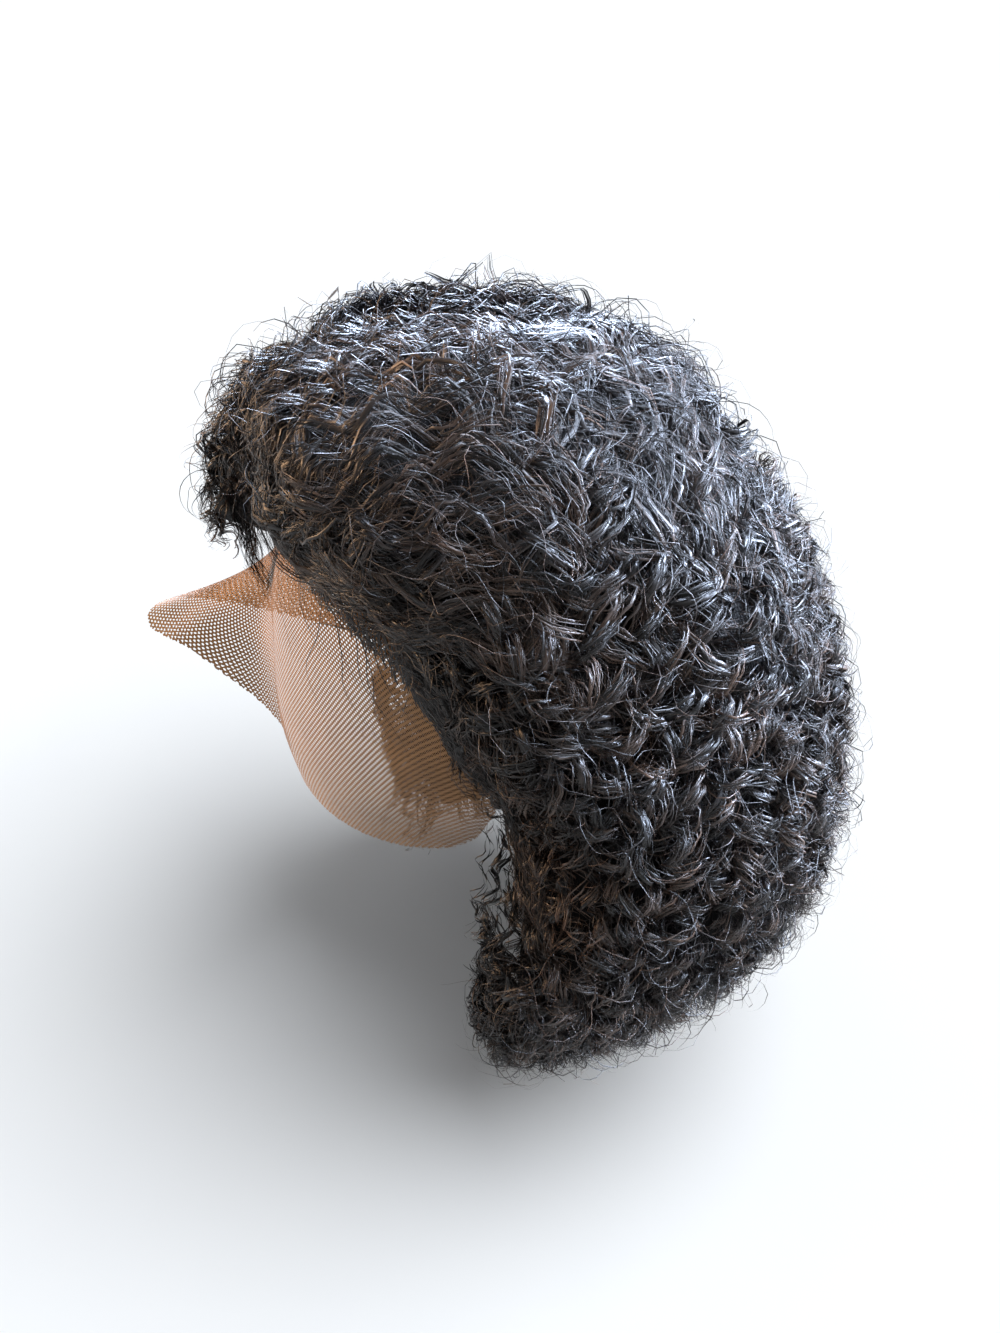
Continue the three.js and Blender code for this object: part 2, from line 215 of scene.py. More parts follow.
# The inside ends this many degrees behind the face opening's edges, and at this share of the fall.
HAIR_EDGE_COVER = 6
HAIR_LOW_EDGE_COVER = 13
HAIR_HEM_COVER = 0.94
CROWN_WAY = np.array((0.45, 0.9, 0.0))
# The combed hair starts a little behind its solid: at the temple by degrees, between these depths below the
# crown, and at the front by a share of the way down, apart from the side of the swept fall.
TEMPLE_BACK = 4
TEMPLE_BACK_DEPTHS = (60, 85, 120, 150)
HAIRLINE_BACK = 0.05
HAIRLINE_BACK_SPAN = (-26, -10)
# It stands further out than its solid at the near back, and less far on the far crown and the fall.
NEAR_BACK_FULLER = 7
FAR_CROWN_FLATTER = 9
FALL_FLATTER = 6
# Below the hem a share of 1 stands for this much free hanging hair.
HANG_PER_SHARE = 300
SECTIONS = {
    "front_hair": (-FRONT_SPREAD, FRONT_SPREAD),
    "left_hair": (FRONT_SPREAD, SIDE_SPREAD),
    "back_hair": (SIDE_SPREAD, 360 - SIDE_SPREAD),
    "right_hair": (-SIDE_SPREAD, -FRONT_SPREAD),
}
SEED = 4107


def mix(first, second, share):
    return first + (second - first) * share


def ease(value, low, high):
    share = np.clip((value - low) / (high - low), 0, 1)
    return share * share * (3 - 2 * share)


def between(value, rise, full, fade, gone):
    """1 from full to fade, and eased to 0 at rise and at gone."""
    return ease(value, rise, full) * (1 - ease(value, fade, gone))


def unit(vectors):
    return vectors / np.maximum(np.linalg.norm(vectors, axis=-1, keepdims=True), 1e-9)


def dot(first, second):
    return np.sum(first * second, axis=-1)


def track(rows, at):
    """Every column of a table but the first, on a smooth curve through its rows."""
    table = np.array(sorted(rows), float)
    keys, columns = table[:, 0], table[:, 1:]
    order = np.arange(len(keys))
    before = np.maximum(order - 1, 0)
    after = np.minimum(order + 1, len(keys) - 1)
    slope = (columns[after] - columns[before]) / (keys[after] - keys[before])[:, None]
    value = np.clip(np.asarray(at, float), keys[0], keys[-1])
    k = np.clip(np.searchsorted(keys, value) - 1, 0, len(keys) - 2)
    span = (keys[k + 1] - keys[k])[..., None]
    t = (value - keys[k])[..., None] / span
    t2 = t * t
    t3 = t2 * t
    ends = (2 * t3 - 3 * t2 + 1) * columns[k] + (3 * t2 - 2 * t3) * columns[k + 1]
    slopes = (t3 - 2 * t2 + t) * slope[k] + (t3 - t2) * slope[k + 1]
    return np.moveaxis(ends + slopes * span, -1, 0)


def turned(azimuth):
    return (np.asarray(azimuth, float) + 540) % 360 - 180


def level_of(z):
    upper = np.degrees(np.arccos(np.clip((z + CROWN_HEIGHT) / CROWN_HEIGHT, -1, 1)))
    return np.where(z < -CROWN_HEIGHT, 90 + (-CROWN_HEIGHT - z) / LEVEL_STEP, upper)


def on_ellipse(azimuth, half_width, half_length, centre_y, z):
    """A point at an azimuth on a level ellipse whose centre lies on the Y axis."""
    s = np.sin(np.radians(azimuth))
    c = np.cos(np.radians(azimuth))
    a = (s / half_width) ** 2 + (c / half_length) ** 2
    b = c * centre_y / half_length**2
    d = (centre_y / half_length) ** 2 - 1
    reach = (np.sqrt(b * b - a * d) - b) / a
    return np.stack(np.broadcast_arrays(reach * s, -reach * c, z), -1)


def head_point(azimuth, level, offset):
    """A point on the head space that the cap fits, moved out by an offset."""
    upper = np.radians(np.minimum(level, 90))
    out = np.maximum(np.sin(upper), 1e-6)
    low = level > 90
    crown_z = (CROWN_HEIGHT + offset) * np.cos(upper) - CROWN_HEIGHT
    z = np.where(low, -CROWN_HEIGHT - (level - 90) * LEVEL_STEP, crown_z)
    half_width, front, back = track(LOWER_HEAD_ROWS, z)
    width = np.where(low, half_width + offset, (HEAD_HALF_WIDTH + offset) * out)
    length = np.where(low, (front + back) / 2 + offset, (HEAD_HALF_LENGTH + offset) * out)
    centre_y = np.where(low, (back - front) / 2, HEAD_CENTRE_Y * out)
    return on_ellipse(azimuth, width, length, centre_y, z)


def rim_height(azimuth):
    return track(RIM_ROWS, np.abs(turned(azimuth)))[0]


def rim_level(azimuth):
    return level_of(rim_height(azimuth))


def lace_point(u, v):
    """A point of the lace: u runs from the right tab to the left, v from the sewn root to the cut edge."""
    azimuth = mix(-LACE_SPREAD, LACE_SPREAD, u)
    lift = CAP_WALL + LACE_LIFT + LACE_THICKNESS
    root = rim_level(azimuth) - LACE_BAND / LEVEL_STEP
    edge_azimuth, edge_z = track(LACE_ON_HEAD_ROWS, azimuth)
    lying = head_point(mix(azimuth, edge_azimuth, v), mix(root, level_of(edge_z), v), lift)
    free = between(-azimuth, *FLAP_LEAVES, *FLAP_RETURNS)
    tip = np.moveaxis(track(LACE_FREE_ROWS, azimuth), 0, -1)
    start = head_point(azimuth, root, lift)
    lead = head_point(azimuth, root + FLAP_LEAD_LEVELS, lift + FLAP_LEAD_OFFSET)
    before = mix(lead, tip, FLAP_LEAD_PULL)
    t = np.asarray(v)[..., None]
    s = 1 - t
    hanging = s**3 * start + 3 * s * s * t * lead + 3 * s * t * t * before + t**3 * tip
    fold = FOLD_DEPTH * np.sin(azimuth * FOLD_RATE) * v * v
    hanging = hanging + fold[..., None] * FOLD_WAY
    return mix(lying, hanging, free[..., None])


def hair_point(azimuth, share):
    """A point on the hair's full outer form, at a share of the way from the crown to the hem."""
    rows = [(i / (len(HAIR_ROWS) - 1), *row) for i, row in enumerate(HAIR_ROWS)]
    z, left, right, front, back = track(rows, share)
    s = np.sin(np.radians(azimuth))
    c = np.cos(np.radians(azimuth))
    side = np.maximum(np.where(s > 0, left, right), 1e-6)
    along = np.maximum(np.where(c > 0, front, back), 1e-6)
    total = np.abs(s / side) ** HAIR_POWER + np.abs(c / along) ** HAIR_POWER
    aside = (turned(azimuth) - FALL_AZIMUTH) / FALL_SPREAD
    fall = np.exp(-(aside**2) - ((z - FALL_Z) / FALL_RISE) ** 2)
    reach = total ** (-1 / HAIR_POWER) + FALL_REACH * fall * ease(side, 0, 40)
    return np.stack(np.broadcast_arrays(reach * s, -reach * c, z), -1)


def hair_foot(azimuth, share):
    """The head side of the hair at the same share, clear of the cap and of the lace's sewn band."""
    z = hair_point(azimuth, share)[..., 2]
    top = HAIR_ROWS[0][0]
    lifted = mix(HAIR_TOP_BLEND, 0, (z - HAIR_TOP_BLEND) / (top - HAIR_TOP_BLEND))
    level = level_of(np.minimum(np.where(z > HAIR_TOP_BLEND, lifted, z), 0))
    aside = np.abs(turned(azimuth))
    rim = rim_level(aside)
    band = (1 - ease(aside, *BAND_SIDES)) * between(level - rim, *BAND_ABOVE, *BAND_BELOW)
    return head_point(azimuth, level, CAP_WALL + HAIR_CLEARANCE + HAIR_BAND_LIFT * band)


SHARE_STEPS = np.linspace(0, 1, 801)
HEIGHT_STEPS = hair_point(90, SHARE_STEPS)[:, 2]


def share_at(z):
    """The share of the way to the hem at which a height is reached."""
    return np.interp(-np.asarray(z, float), -HEIGHT_STEPS, SHARE_STEPS)


def face_edge(share):
    """Azimuth of the face opening's side edge at a share of the way down, a little back at the temple."""
    z = np.interp(share, SHARE_STEPS, HEIGHT_STEPS)
    combed_back = TEMPLE_BACK * between(-z, *TEMPLE_BACK_DEPTHS)
    return np.maximum(track(FACE_EDGE_ROWS, z)[0], FRONT_SPREAD) + combed_back


def hairline_share(azimuth):
    """The share at which the thick hair starts over the face. Before it, first rows are tied in the lace."""
    return share_at(rim_height(azimuth)) - HAIRLINE_BACK * ease(turned(azimuth), *HAIRLINE_BACK_SPAN)


def settled(way, share, z):
    """How far the combed hair stands off its solid, in millimetres."""
    near_back = between(way, 95, 130, 165, 180) * between(-z, 20, 50, 190, 230)
    far_crown = between(-way, 40, 75, 150, 180) * ease(z, -30, 5) * ease(share, 0.03, 0.15)
    fall = between(-way, 12, 28, 44, 60) * between(-z, 30, 55, 90, 120)
    return NEAR_BACK_FULLER * near_back - FAR_CROWN_FLATTER * far_crown - FALL_FLATTER * fall


def hair_shell(azimuth, share):
    """Outer and head-side points of the hair, thinned along the hairline and the temple."""
    way = turned(azimuth)
    front = np.abs(way) <= FRONT_SPREAD
    rim_share = share_at(rim_height(way))
    end = np.where(front, rim_share, 1.0)
    kept = np.minimum(share, end)
    point = hair_point(way, kept)
    foot = hair_foot(way, kept)
    depth = np.maximum(np.linalg.norm(point - foot, axis=-1), 1e-6)
    z = point[..., 2]
    down = np.minimum(kept / rim_share, 1)
    thin = np.minimum(track(HAIRLINE_ROWS, way)[0] / depth, 1)
    front_fill = mix(1, thin, ease(down, 0.5, 1))
    edge = face_edge(kept)
    inward = (np.abs(way) - edge) / (SIDE_SPREAD - edge)
    rounded = mix(EDGE_ROUND, 1, ease(inward, *EDGE_ROUND_WIDTH))
    side_fill = mix(1, rounded, ease(TEMPLE_TOP_Z - z, -EDGE_ROUND_RISE, EDGE_ROUND_SINK))
    temple = mix(TEMPLE_DEPTH / depth, 1, ease(inward, 0, TEMPLE_SHARE))
    low = ease(-z, -TEMPLE_THIN_Z, -TEMPLE_FULL_Z)
    high = 1 - ease(-z, 0, -TEMPLE_TOP_Z)
    left_fill = side_fill * mix(temple, 1, np.maximum(low, high))
    side = np.where(way > 0, left_fill, side_fill)
    fill = np.where(front, front_fill, np.where(np.abs(way) < SIDE_SPREAD, side, 1))
    drop = FALL_DROP * ease(-way, *FALL_DROP_SPAN) * down**3
    drop = drop * (1 - ease(-way, *FALL_FADE_SPAN))
    drop = drop * (1 - ease(kept - rim_share, 0, FALL_FADE_SHARE))
    point[..., 2] -= drop
    fill = fill * np.maximum(1 + settled(way, kept, z) / depth, 0.2)
    point = mix(foot, point, fill[..., None])
    past = np.maximum(share - end, 0) * HANG_PER_SHARE
    point[..., 2] -= past
    foot[..., 2] -= past
    return point, foot


# Meshes from arrays.

# In the UV map each strand has a cell of its own, three times as tall as wide, with a margin round it.
CELL_TALLNESS = 3
CELL_ACROSS = np.array((0.1, 0.9))
CELL_ALONG = (0.03, 0.97)
# From one strand to the next the drawn fibres move on by this much, so that no two are alike.
FIBRE_STEP = 3.7


def finish_piece(mesh, material):
    mesh.materials.append(material)
    mesh.shade_smooth()
    piece = bpy.data.objects.new(mesh.name, mesh)
    bpy.context.scene.collection.objects.link(piece)
    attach(piece, "root")
    return piece


def mesh_from_arrays(name, points, faces, corner_uv):
    """A mesh of faces with one number of corners, with a UV map named OFBake."""
    mesh = bpy.data.meshes.new(name)
    mesh.vertices.add(len(points))
    mesh.vertices.foreach_set("co", (points * MM).astype(np.float32).ravel())
    mesh.loops.add(faces.size)
    mesh.loops.foreach_set("vertex_index", faces.astype(np.int32).ravel())
    mesh.polygons.add(len(faces))
    starts = np.arange(0, faces.size, faces.shape[1], dtype=np.int32)
    mesh.polygons.foreach_set("loop_start", starts)
    mesh.update(calc_edges=True)
    layer = mesh.uv_layers.new(name="OFBake")
    layer.uv.foreach_set("vector", corner_uv.astype(np.float32).ravel())
    return mesh


def add_values(mesh, name, values):
    attribute = mesh.attributes.new(name, "FLOAT", "POINT")
    attribute.data.foreach_set("value", np.asarray(values, np.float32).ravel())


def grid_mesh(name, points):
    """A sheet of quads through a grid of points, rows by columns."""
    rows, columns = points.shape[:2]
    index = np.arange(rows * columns).reshape(rows, columns)
    quads = np.stack([index[:-1, :-1], index[1:, :-1], index[1:, 1:], index[:-1, 1:]], -1)
    v, u = np.meshgrid(np.linspace(0, 1, rows), np.linspace(0, 1, columns), indexing="ij")
    uv = np.stack([u, v], -1).reshape(-1, 2)
    quads = quads.reshape(-1, 4)
    return mesh_from_arrays(name, points.reshape(-1, 3), quads, uv[quads])


def ribbon_mesh(name, batches):
    """Flat tapered strands: each has its own cell of the UV map, and normals that round it like a fibre."""
    total = sum(len(batch["centres"]) for batch in batches)
    columns = math.ceil(math.sqrt(total * CELL_TALLNESS))
    rows = math.ceil(total / columns)
    points, normals, quads, uvs, fibres, tones, tips = [], [], [], [], [], [], []
    strands_before = 0
    points_before = 0
    for batch in batches:
        centres, sides, widths = batch["centres"], batch["sides"], batch["widths"]
        count, stations = centres.shape[:2]
        along = unit(np.gradient(centres, axis=1))
        face = unit(np.cross(sides, along))
        half = widths[..., None] / 2 * sides
        bend = batch["bend"] * sides
        index = points_before + np.arange(count * stations * 2).reshape(count, stations, 2)
        faces = np.stack([index[:, :-1, 0], index[:, :-1, 1], index[:, 1:, 1], index[:, 1:, 0]], -1)
        cell = strands_before + np.arange(count)
        step = np.linspace(*CELL_ALONG, stations)
        u = (cell % columns)[:, None, None] + CELL_ACROSS[None, None, :]
        v = (cell // columns)[:, None, None] + step[None, :, None]
        run = np.linalg.norm(np.diff(centres, axis=1), axis=-1)
        run = np.concatenate([np.zeros((count, 1)), np.cumsum(run, 1)], 1)
        across = np.stack([-widths / 2, widths / 2], -1)
        fibre = np.stack(np.broadcast_arrays(across, run[..., None], cell[:, None, None] * FIBRE_STEP), -1)
        points.append(np.stack([centres - half, centres + half], 2).reshape(-1, 3))
        normals.append(np.stack([unit(face - bend), unit(face + bend)], 2).reshape(-1, 3))
        quads.append(faces.reshape(-1, 4))
        uvs.append(np.stack(np.broadcast_arrays(u / columns, v / rows), -1).reshape(-1, 2))
        fibres.append(fibre.reshape(-1, 3))
        tones.append(np.repeat(batch["tones"], stations * 2))
        tips.append(np.tile(np.repeat(np.linspace(0, 1, stations), 2), count))
        strands_before += count
        points_before += count * stations * 2
    quads = np.concatenate(quads)
    mesh = mesh_from_arrays(name, np.concatenate(points), quads, np.concatenate(uvs)[quads])
    mesh.shade_smooth()
    mesh.normals_split_custom_set_from_vertices(np.concatenate(normals))
    add_values(mesh, "tone", np.concatenate(tones))
    add_values(mesh, "tip", np.concatenate(tips))
    attribute = mesh.attributes.new("fibre", "FLOAT_VECTOR", "POINT")
    attribute.data.foreach_set("vector", np.concatenate(fibres).astype(np.float32).ravel())
    return mesh


def six_sided_net(width, height, pitch, hole_share):
    """Flat points and triangles of a net that covers a rectangle: threads round six-sided holes.
    Three holes meet at each knot, and each knot has a point at the corner of each of its holes."""
    row_height = math.sqrt(0.75)
    rows = int(height / pitch / row_height) + 2
    columns = int(width / pitch) + rows // 2 + 2
    q, r = np.meshgrid(np.arange(-rows // 2, columns), np.arange(-1, rows), indexing="ij")
    upper = np.array([(0, 0), (1, 0), (0, 1)])
    lower = np.array([(1, 0), (0, 1), (1, 1)])
    holes = np.stack([q, r], -1)[:, :, None, None] + np.stack([upper, lower])
    centres = pitch * np.stack([holes[..., 0] + holes[..., 1] / 2, holes[..., 1] * row_height], -1)
    knots = centres.mean(3, keepdims=True)
    points = mix(centres, knots, hole_share)
    index = np.arange(points.size // 2).reshape(points.shape[:-1])
    up, down = index[1:, 1:, 0], index[1:, 1:, 1]
    beside, below = index[:-1, 1:, 1], index[1:, :-1, 1]
    corners = [
        (up[..., 0], up[..., 1], up[..., 2]),
        (down[..., 0], down[..., 2], down[..., 1]),
        (up[..., 1], down[..., 0], down[..., 1]),
        (up[..., 1], down[..., 1], up[..., 2]),
        (up[..., 0], up[..., 2], beside[..., 2]),
        (up[..., 0], beside[..., 2], beside[..., 0]),
        (below[..., 1], below[..., 2], up[..., 1]),
        (below[..., 1], up[..., 1], up[..., 0]),
    ]
    faces = np.concatenate([np.stack(corner, -1).reshape(-1, 3) for corner in corners])
    return points.reshape(-1, 2), faces


# Materials.

MULTIPLY = {"operation": "MULTIPLY"}
OF_COLOURS = {"data_type": "RGBA"}


def colour(code):
    """Linear RGBA from an sRGB hex code."""
    shares = [int(code[i : i + 2], 16) / 255 for i in (1, 3, 5)]
    linear = [c / 12.92 if c <= 0.04045 else ((c + 0.055) / 1.055) ** 2.4 for c in shares]
    return (*linear, 1.0)


def set_sockets(tree, node, inputs=(), links=()):
    """Gives a node's sockets their values, or links them to outputs of other nodes."""
    for key, value in dict(inputs).items():
        node.inputs[key].default_value = value
    for key, (source, output) in dict(links).items():
        tree.links.new(source.outputs[output], node.inputs[key])


def add_node(tree, kind, settings=(), inputs=(), links=()):
    """Adds a node: settings are its properties, inputs its socket values, links sockets from other nodes."""
    node = tree.nodes.new(kind)
    for key, value in dict(settings).items():
        setattr(node, key, value)
    set_sockets(tree, node, inputs, links)
    return node


def new_material(name):
    material = bpy.data.materials.new(name)
    material.use_nodes = True
    tree = material.node_tree
    return material, tree, tree.nodes["Principled BSDF"]


def hair_fibre(settings, parted_wisps=False):
    """Curled dark hair: smooth fibres with a cool gloss, darker at the root and browner at the worn tips.
    Each strand is drawn as several fibres, coarser than real ones so that they show. Wisps are open between
    their fibres."""
    material, tree, shader = new_material("curled_hair_wisp" if parted_wisps else "curled_hair_fibre")
    tone, tip, fibre = [
        add_node(tree, "ShaderNodeAttribute", {"attribute_name": name}) for name in ("tone", "tip", "fibre")
    ]
    rate = (1 / settings.fibre_pitch, 1 / settings.fibre_run, 1)
    drawn = add_node(tree, "ShaderNodeVectorMath", MULTIPLY, {1: rate}, {0: (fibre, "Vector")})
    look = {"Scale": 1.0, "Detail": 2.0, "Roughness": 0.6}
    lines = add_node(tree, "ShaderNodeTexNoise", (), look, {"Vector": (drawn, "Vector")})
    span = {"From Min": 0.32, "From Max": 0.68}
    parted = add_node(tree, "ShaderNodeMapRange", (), span, {"Value": (lines, "Fac")})
    lighter = add_node(tree, "ShaderNodeMath", MULTIPLY, (), {0: (parted, "Result"), 1: (tone, "Fac")})
    pair = {"A": colour(settings.root_colour), "B": colour(settings.mid_colour)}
    base = add_node(tree, "ShaderNodeMix", OF_COLOURS, pair, {"Factor": (lighter, "Value")})
    span = {"From Min": 0.4, "From Max": 1.0}
    worn = add_node(tree, "ShaderNodeMapRange", (), span, {"Value": (tip, "Fac")})
    worn_lines = add_node(tree, "ShaderNodeMath", MULTIPLY, (), {0: (worn, "Result"), 1: (lighter, "Value")})
    ends = add_node(
        tree,
        "ShaderNodeMix",
        OF_COLOURS,
        {"B": colour(settings.tip_colour)},
        {"Factor": (worn_lines, "Value"), "A": (base, "Result")},
    )
    span = {"To Min": 0.5, "To Max": 0.36}
    gloss = add_node(tree, "ShaderNodeMapRange", (), span, {"Value": (parted, "Result")})
    size = {"Strength": 0.35, "Distance": 0.3 * MM}
    relief = add_node(tree, "ShaderNodeBump", (), size, {"Height": (parted, "Result")})
    links = {"Base Color": (ends, "Result"), "Roughness": (gloss, "Result"), "Normal": (relief, "Normal")}
    if parted_wisps:
        span = {"From Min": 0.46, "From Max": 0.54}
        gaps = add_node(tree, "ShaderNodeMapRange", (), span, {"Value": (lines, "Fac")})
        links["Alpha"] = (gaps, "Result")
    # Below the 1.55 of a single hair, because a strand stands for many that scatter the gloss.
    set_sockets(tree, shader, {"IOR": 1.42}, links)
    return material


def hair_depths(settings):
    """The shaded inside of the hair, where fibres lie so close that only dark lines along the fall show: a
    sheet coloured darker than the strands, as painted shade.
    """
    material, tree, shader = new_material("shaded_inner_hair")
    place = add_node(tree, "ShaderNodeUVMap", {"uv_map": "OFBake"})
    rate = (settings.mass_girth / settings.fibre_pitch / 2, settings.mass_fall / settings.fibre_run, 1)
    drawn = add_node(tree, "ShaderNodeVectorMath", MULTIPLY, {1: rate}, {0: (place, "UV")})
    look = {"Scale": 1.0, "Detail": 3.0, "Distortion": 0.6}
    strands = add_node(tree, "ShaderNodeTexNoise", (), look, {"Vector": (drawn, "Vector")})
    # Between a painted shade and the root colour of the strands.
    pair = {"A": colour(settings.painted_shade_colour), "B": colour(settings.root_colour)}
    shade = add_node(tree, "ShaderNodeMix", OF_COLOURS, pair, {"Factor": (strands, "Fac")})
    size = {"Strength": 1.0, "Distance": 1.5 * MM}
    relief = add_node(tree, "ShaderNodeBump", (), size, {"Height": (strands, "Fac")})
    links = {"Base Color": (shade, "Result"), "Normal": (relief, "Normal")}
    set_sockets(tree, shader, {"Roughness": 0.7, "Specular IOR Level": 0.1}, links)
    return material


def lace_thread(settings):
    """Fine knitted polyester thread in a skin tone: matt, with a faint sheen where it turns away."""
    material, tree, shader = new_material("knitted_lace_thread")
    place = add_node(tree, "ShaderNodeNewGeometry")
    at = {"Vector": (place, "Position")}
    cloud = add_node(tree, "ShaderNodeTexNoise", (), {"Scale": 1 / (14 * MM), "Detail": 3.0}, at)
    # The thread is mottled at random between its colour and a painted shade of it.
    pair = {"A": colour(settings.lace_colour), "B": colour(settings.lace_shade)}
    shade = add_node(tree, "ShaderNodeMix", OF_COLOURS, pair, {"Factor": (cloud, "Fac")})
    twist = add_node(tree, "ShaderNodeTexNoise", (), {"Scale": 1 / (0.5 * MM), "Detail": 2.0}, at)
    size = {"Strength": 0.5, "Distance": 0.2 * MM}
    relief = add_node(tree, "ShaderNodeBump", (), size, {"Height": (twist, "Fac")})
    links = {"Base Color": (shade, "Result"), "Normal": (relief, "Normal")}
    set_sockets(tree, shader, {"Roughness": 0.7, "Sheen Weight": 0.2}, links)
    return material


def cap_net(settings):
    """Dark elastic warp knit: small diamond holes too fine to cut, so they are drawn as dark pits with a
    painted shade in them.
    """
    material, tree, shader = new_material("dark_elastic_net")
    place = add_node(tree, "ShaderNodeUVMap", {"uv_map": "OFBake"})
    rate = (settings.girth_mm / settings.net_pitch, settings.rise_mm / settings.net_pitch, 1)
    drawn = add_node(tree, "ShaderNodeVectorMath", MULTIPLY, {1: rate}, {0: (place, "UV")})
    holes = add_node(
        tree,
        "ShaderNodeTexVoronoi",
        {"feature": "DISTANCE_TO_EDGE"},
        {"Scale": 1.0, "Randomness": 0.25},
        {"Vector": (drawn, "Vector")},
    )
    span = {"From Min": 0.08, "From Max": 0.28, "To Min": 1.0, "To Max": 0.0}
    pits = add_node(tree, "ShaderNodeMapRange", (), span, {"Value": (holes, "Distance")})
    # The pits get a painted shade, darker than the thread.
    pair = {"A": colour(settings.hole_painted_shade), "B": colour(settings.net_colour)}
    shade = add_node(tree, "ShaderNodeMix", OF_COLOURS, pair, {"Factor": (pits, "Result")})
    size = {"Strength": 0.7, "Distance": 0.6 * MM}
    relief = add_node(tree, "ShaderNodeBump", (), size, {"Height": (pits, "Result")})
    links = {"Base Color": (shade, "Result"), "Normal": (relief, "Normal")}
    set_sockets(tree, shader, {"Roughness": 0.8, "Sheen Weight": 0.3}, links)
    return material


def floor_paper():
    """Pale matt paper with a faint fibre mottle."""
    material, tree, shader = new_material("pale_paper")
    place = add_node(tree, "ShaderNodeNewGeometry")
    look = {"Scale": 12.0, "Detail": 4.0}
    mottle = add_node(tree, "ShaderNodeTexNoise", (), look, {"Vector": (place, "Position")})
    pair = {"A": colour("#e8e8e9"), "B": colour("#ececec")}
    shade = add_node(tree, "ShaderNodeMix", OF_COLOURS, pair, {"Factor": (mottle, "Fac")})
    set_sockets(tree, shader, {"Roughness": 0.9}, {"Base Color": (shade, "Result")})
    return material


# Hair: strands are combed over the hair's form, which is walked on a flat map round the crown.

# Where it is swept back from the hairline and from the temple: azimuths, and depths below the crown.
SWEPT_SPAN = (-22, 4, 58, 92)
SWEPT_DEPTHS = (52, 92)
TEMPLE_SPAN = (36, 50, 74, 104)
TEMPLE_DEPTHS = (45, 75, 118, 165)
# How far it lies back where it hangs, how much further where it is swept, and the share of its fall that this
# takes.
HANGING_BACK = 0.28
SWEPT_BACK = 0.9
SWEPT_UP = 1.15
# Shares of down and of back at the temple.
TEMPLE_WAY = (0.6, 0.8)
# Over these shares of the fall the crown's own way gives way to the rest.
CROWN_SHARES = (0.06, 0.2)
# Slow turns of the way that it lies: size, rates along x, y and z a millimetre, and start, all in radians.
WANDERINGS = [
    (0.36, (0.045, 0.0, 0.06), 1.1),
    (0.16, (0.12, 0.08, -0.05), 0.0),
]
# A small move on the maps of the hair and of the lace, to find their slopes.
NUDGE = 1e-3
# Steps along the centre line of a lock.
WALK_STEPS = 24
# Each place is the one of so many that lies furthest from those before it.
PLACE_TRIES = 6
# The strands of a lock differ by these shares of its length, radius, frizz and width.
STRAND_LENGTHS = (0.72, 1.0)
STRAND_RADII = (0.78, 1.18)
STRAND_FRIZZ = (0.3, 1.4)
STRAND_WIDTHS = (0.7, 1.3)
# A kink in the frizz is this long in millimetres, and spans so many steps or more that it stays smooth.
KINK_RUN = (6.5, 12)
KINK_STEPS = 3
# Strands stay this far above the head side of the hair and above its shaded inside.
LEAST_COVER = 0.8


def on_map(azimuth, share):
    angle = np.radians(azimuth)
    return np.stack([share * np.sin(angle), -share * np.cos(angle)], -1)


def off_map(place):
    share = np.linalg.norm(place, axis=-1)
    return np.degrees(np.arctan2(place[..., 0], -place[..., 1])), np.maximum(share, 1e-4)


def swept_share(azimuth, z):
    """How much of the hair is swept back from the hairline rather than left to hang."""
    return between(azimuth, *SWEPT_SPAN) * (1 - ease(-z, *SWEPT_DEPTHS))


def combed_way(outer, azimuth, share, down, normal, lean):
    """Which way the hair lies: back over the crown, from the hairline and from the temple, else down.
    Lean turns a lock aside from its neighbours, in radians."""
    z = outer[..., 2]
    swept = swept_share(azimuth, z)[..., None]
    temple = between(azimuth, *TEMPLE_SPAN) * between(-z, *TEMPLE_DEPTHS)
    back = np.array((0.0, 1.0, 0.0)) - normal * normal[..., 1:2]
    way = down * (1 - SWEPT_UP * swept) + back * (HANGING_BACK + SWEPT_BACK * swept)
    way = mix(way, TEMPLE_WAY[0] * down + TEMPLE_WAY[1] * back, temple[..., None])
    crown = unit(CROWN_WAY - normal * dot(normal, CROWN_WAY)[..., None])
    way = mix(crown, unit(way), ease(share, *CROWN_SHARES)[..., None])
    angle = lean + sum(size * np.sin(dot(outer, rates) + start) for size, rates, start in WANDERINGS)
    across = np.cross(normal, way)
    return unit(way * np.cos(angle)[..., None] + across * np.sin(angle)[..., None])


def hair_at(place, lean):
    """The hair at places on the map: outer points, outward ways, depths, and a move of 1 mm as combed."""
    outer, foot = hair_shell(*off_map(place))
    east = (hair_shell(*off_map(place + (NUDGE, 0)))[0] - outer) / NUDGE
    north = (hair_shell(*off_map(place + (0, NUDGE)))[0] - outer) / NUDGE
    normal = unit(np.cross(east, north))
    radial = unit(place)
    down = unit(east * radial[:, :1] + north * radial[:, 1:])
    azimuth, share = off_map(place)
    way = combed_way(outer, azimuth, share, down, normal, lean)
    a, b, c = dot(east, east), dot(east, north), dot(north, north)
    u, v = dot(east, way), dot(north, way)
    spread = np.maximum(a * c - b * b, 1e-3)
    move = np.stack([(c * u - b * v) / spread, (a * v - b * u) / spread], -1)
    gone = np.linalg.norm(east * move[:, :1] + north * move[:, 1:], axis=-1)
    depth = np.linalg.norm(outer - foot, axis=-1)
    return outer, unit(outer - foot), depth, move / np.maximum(gone, 1e-6)[:, None]


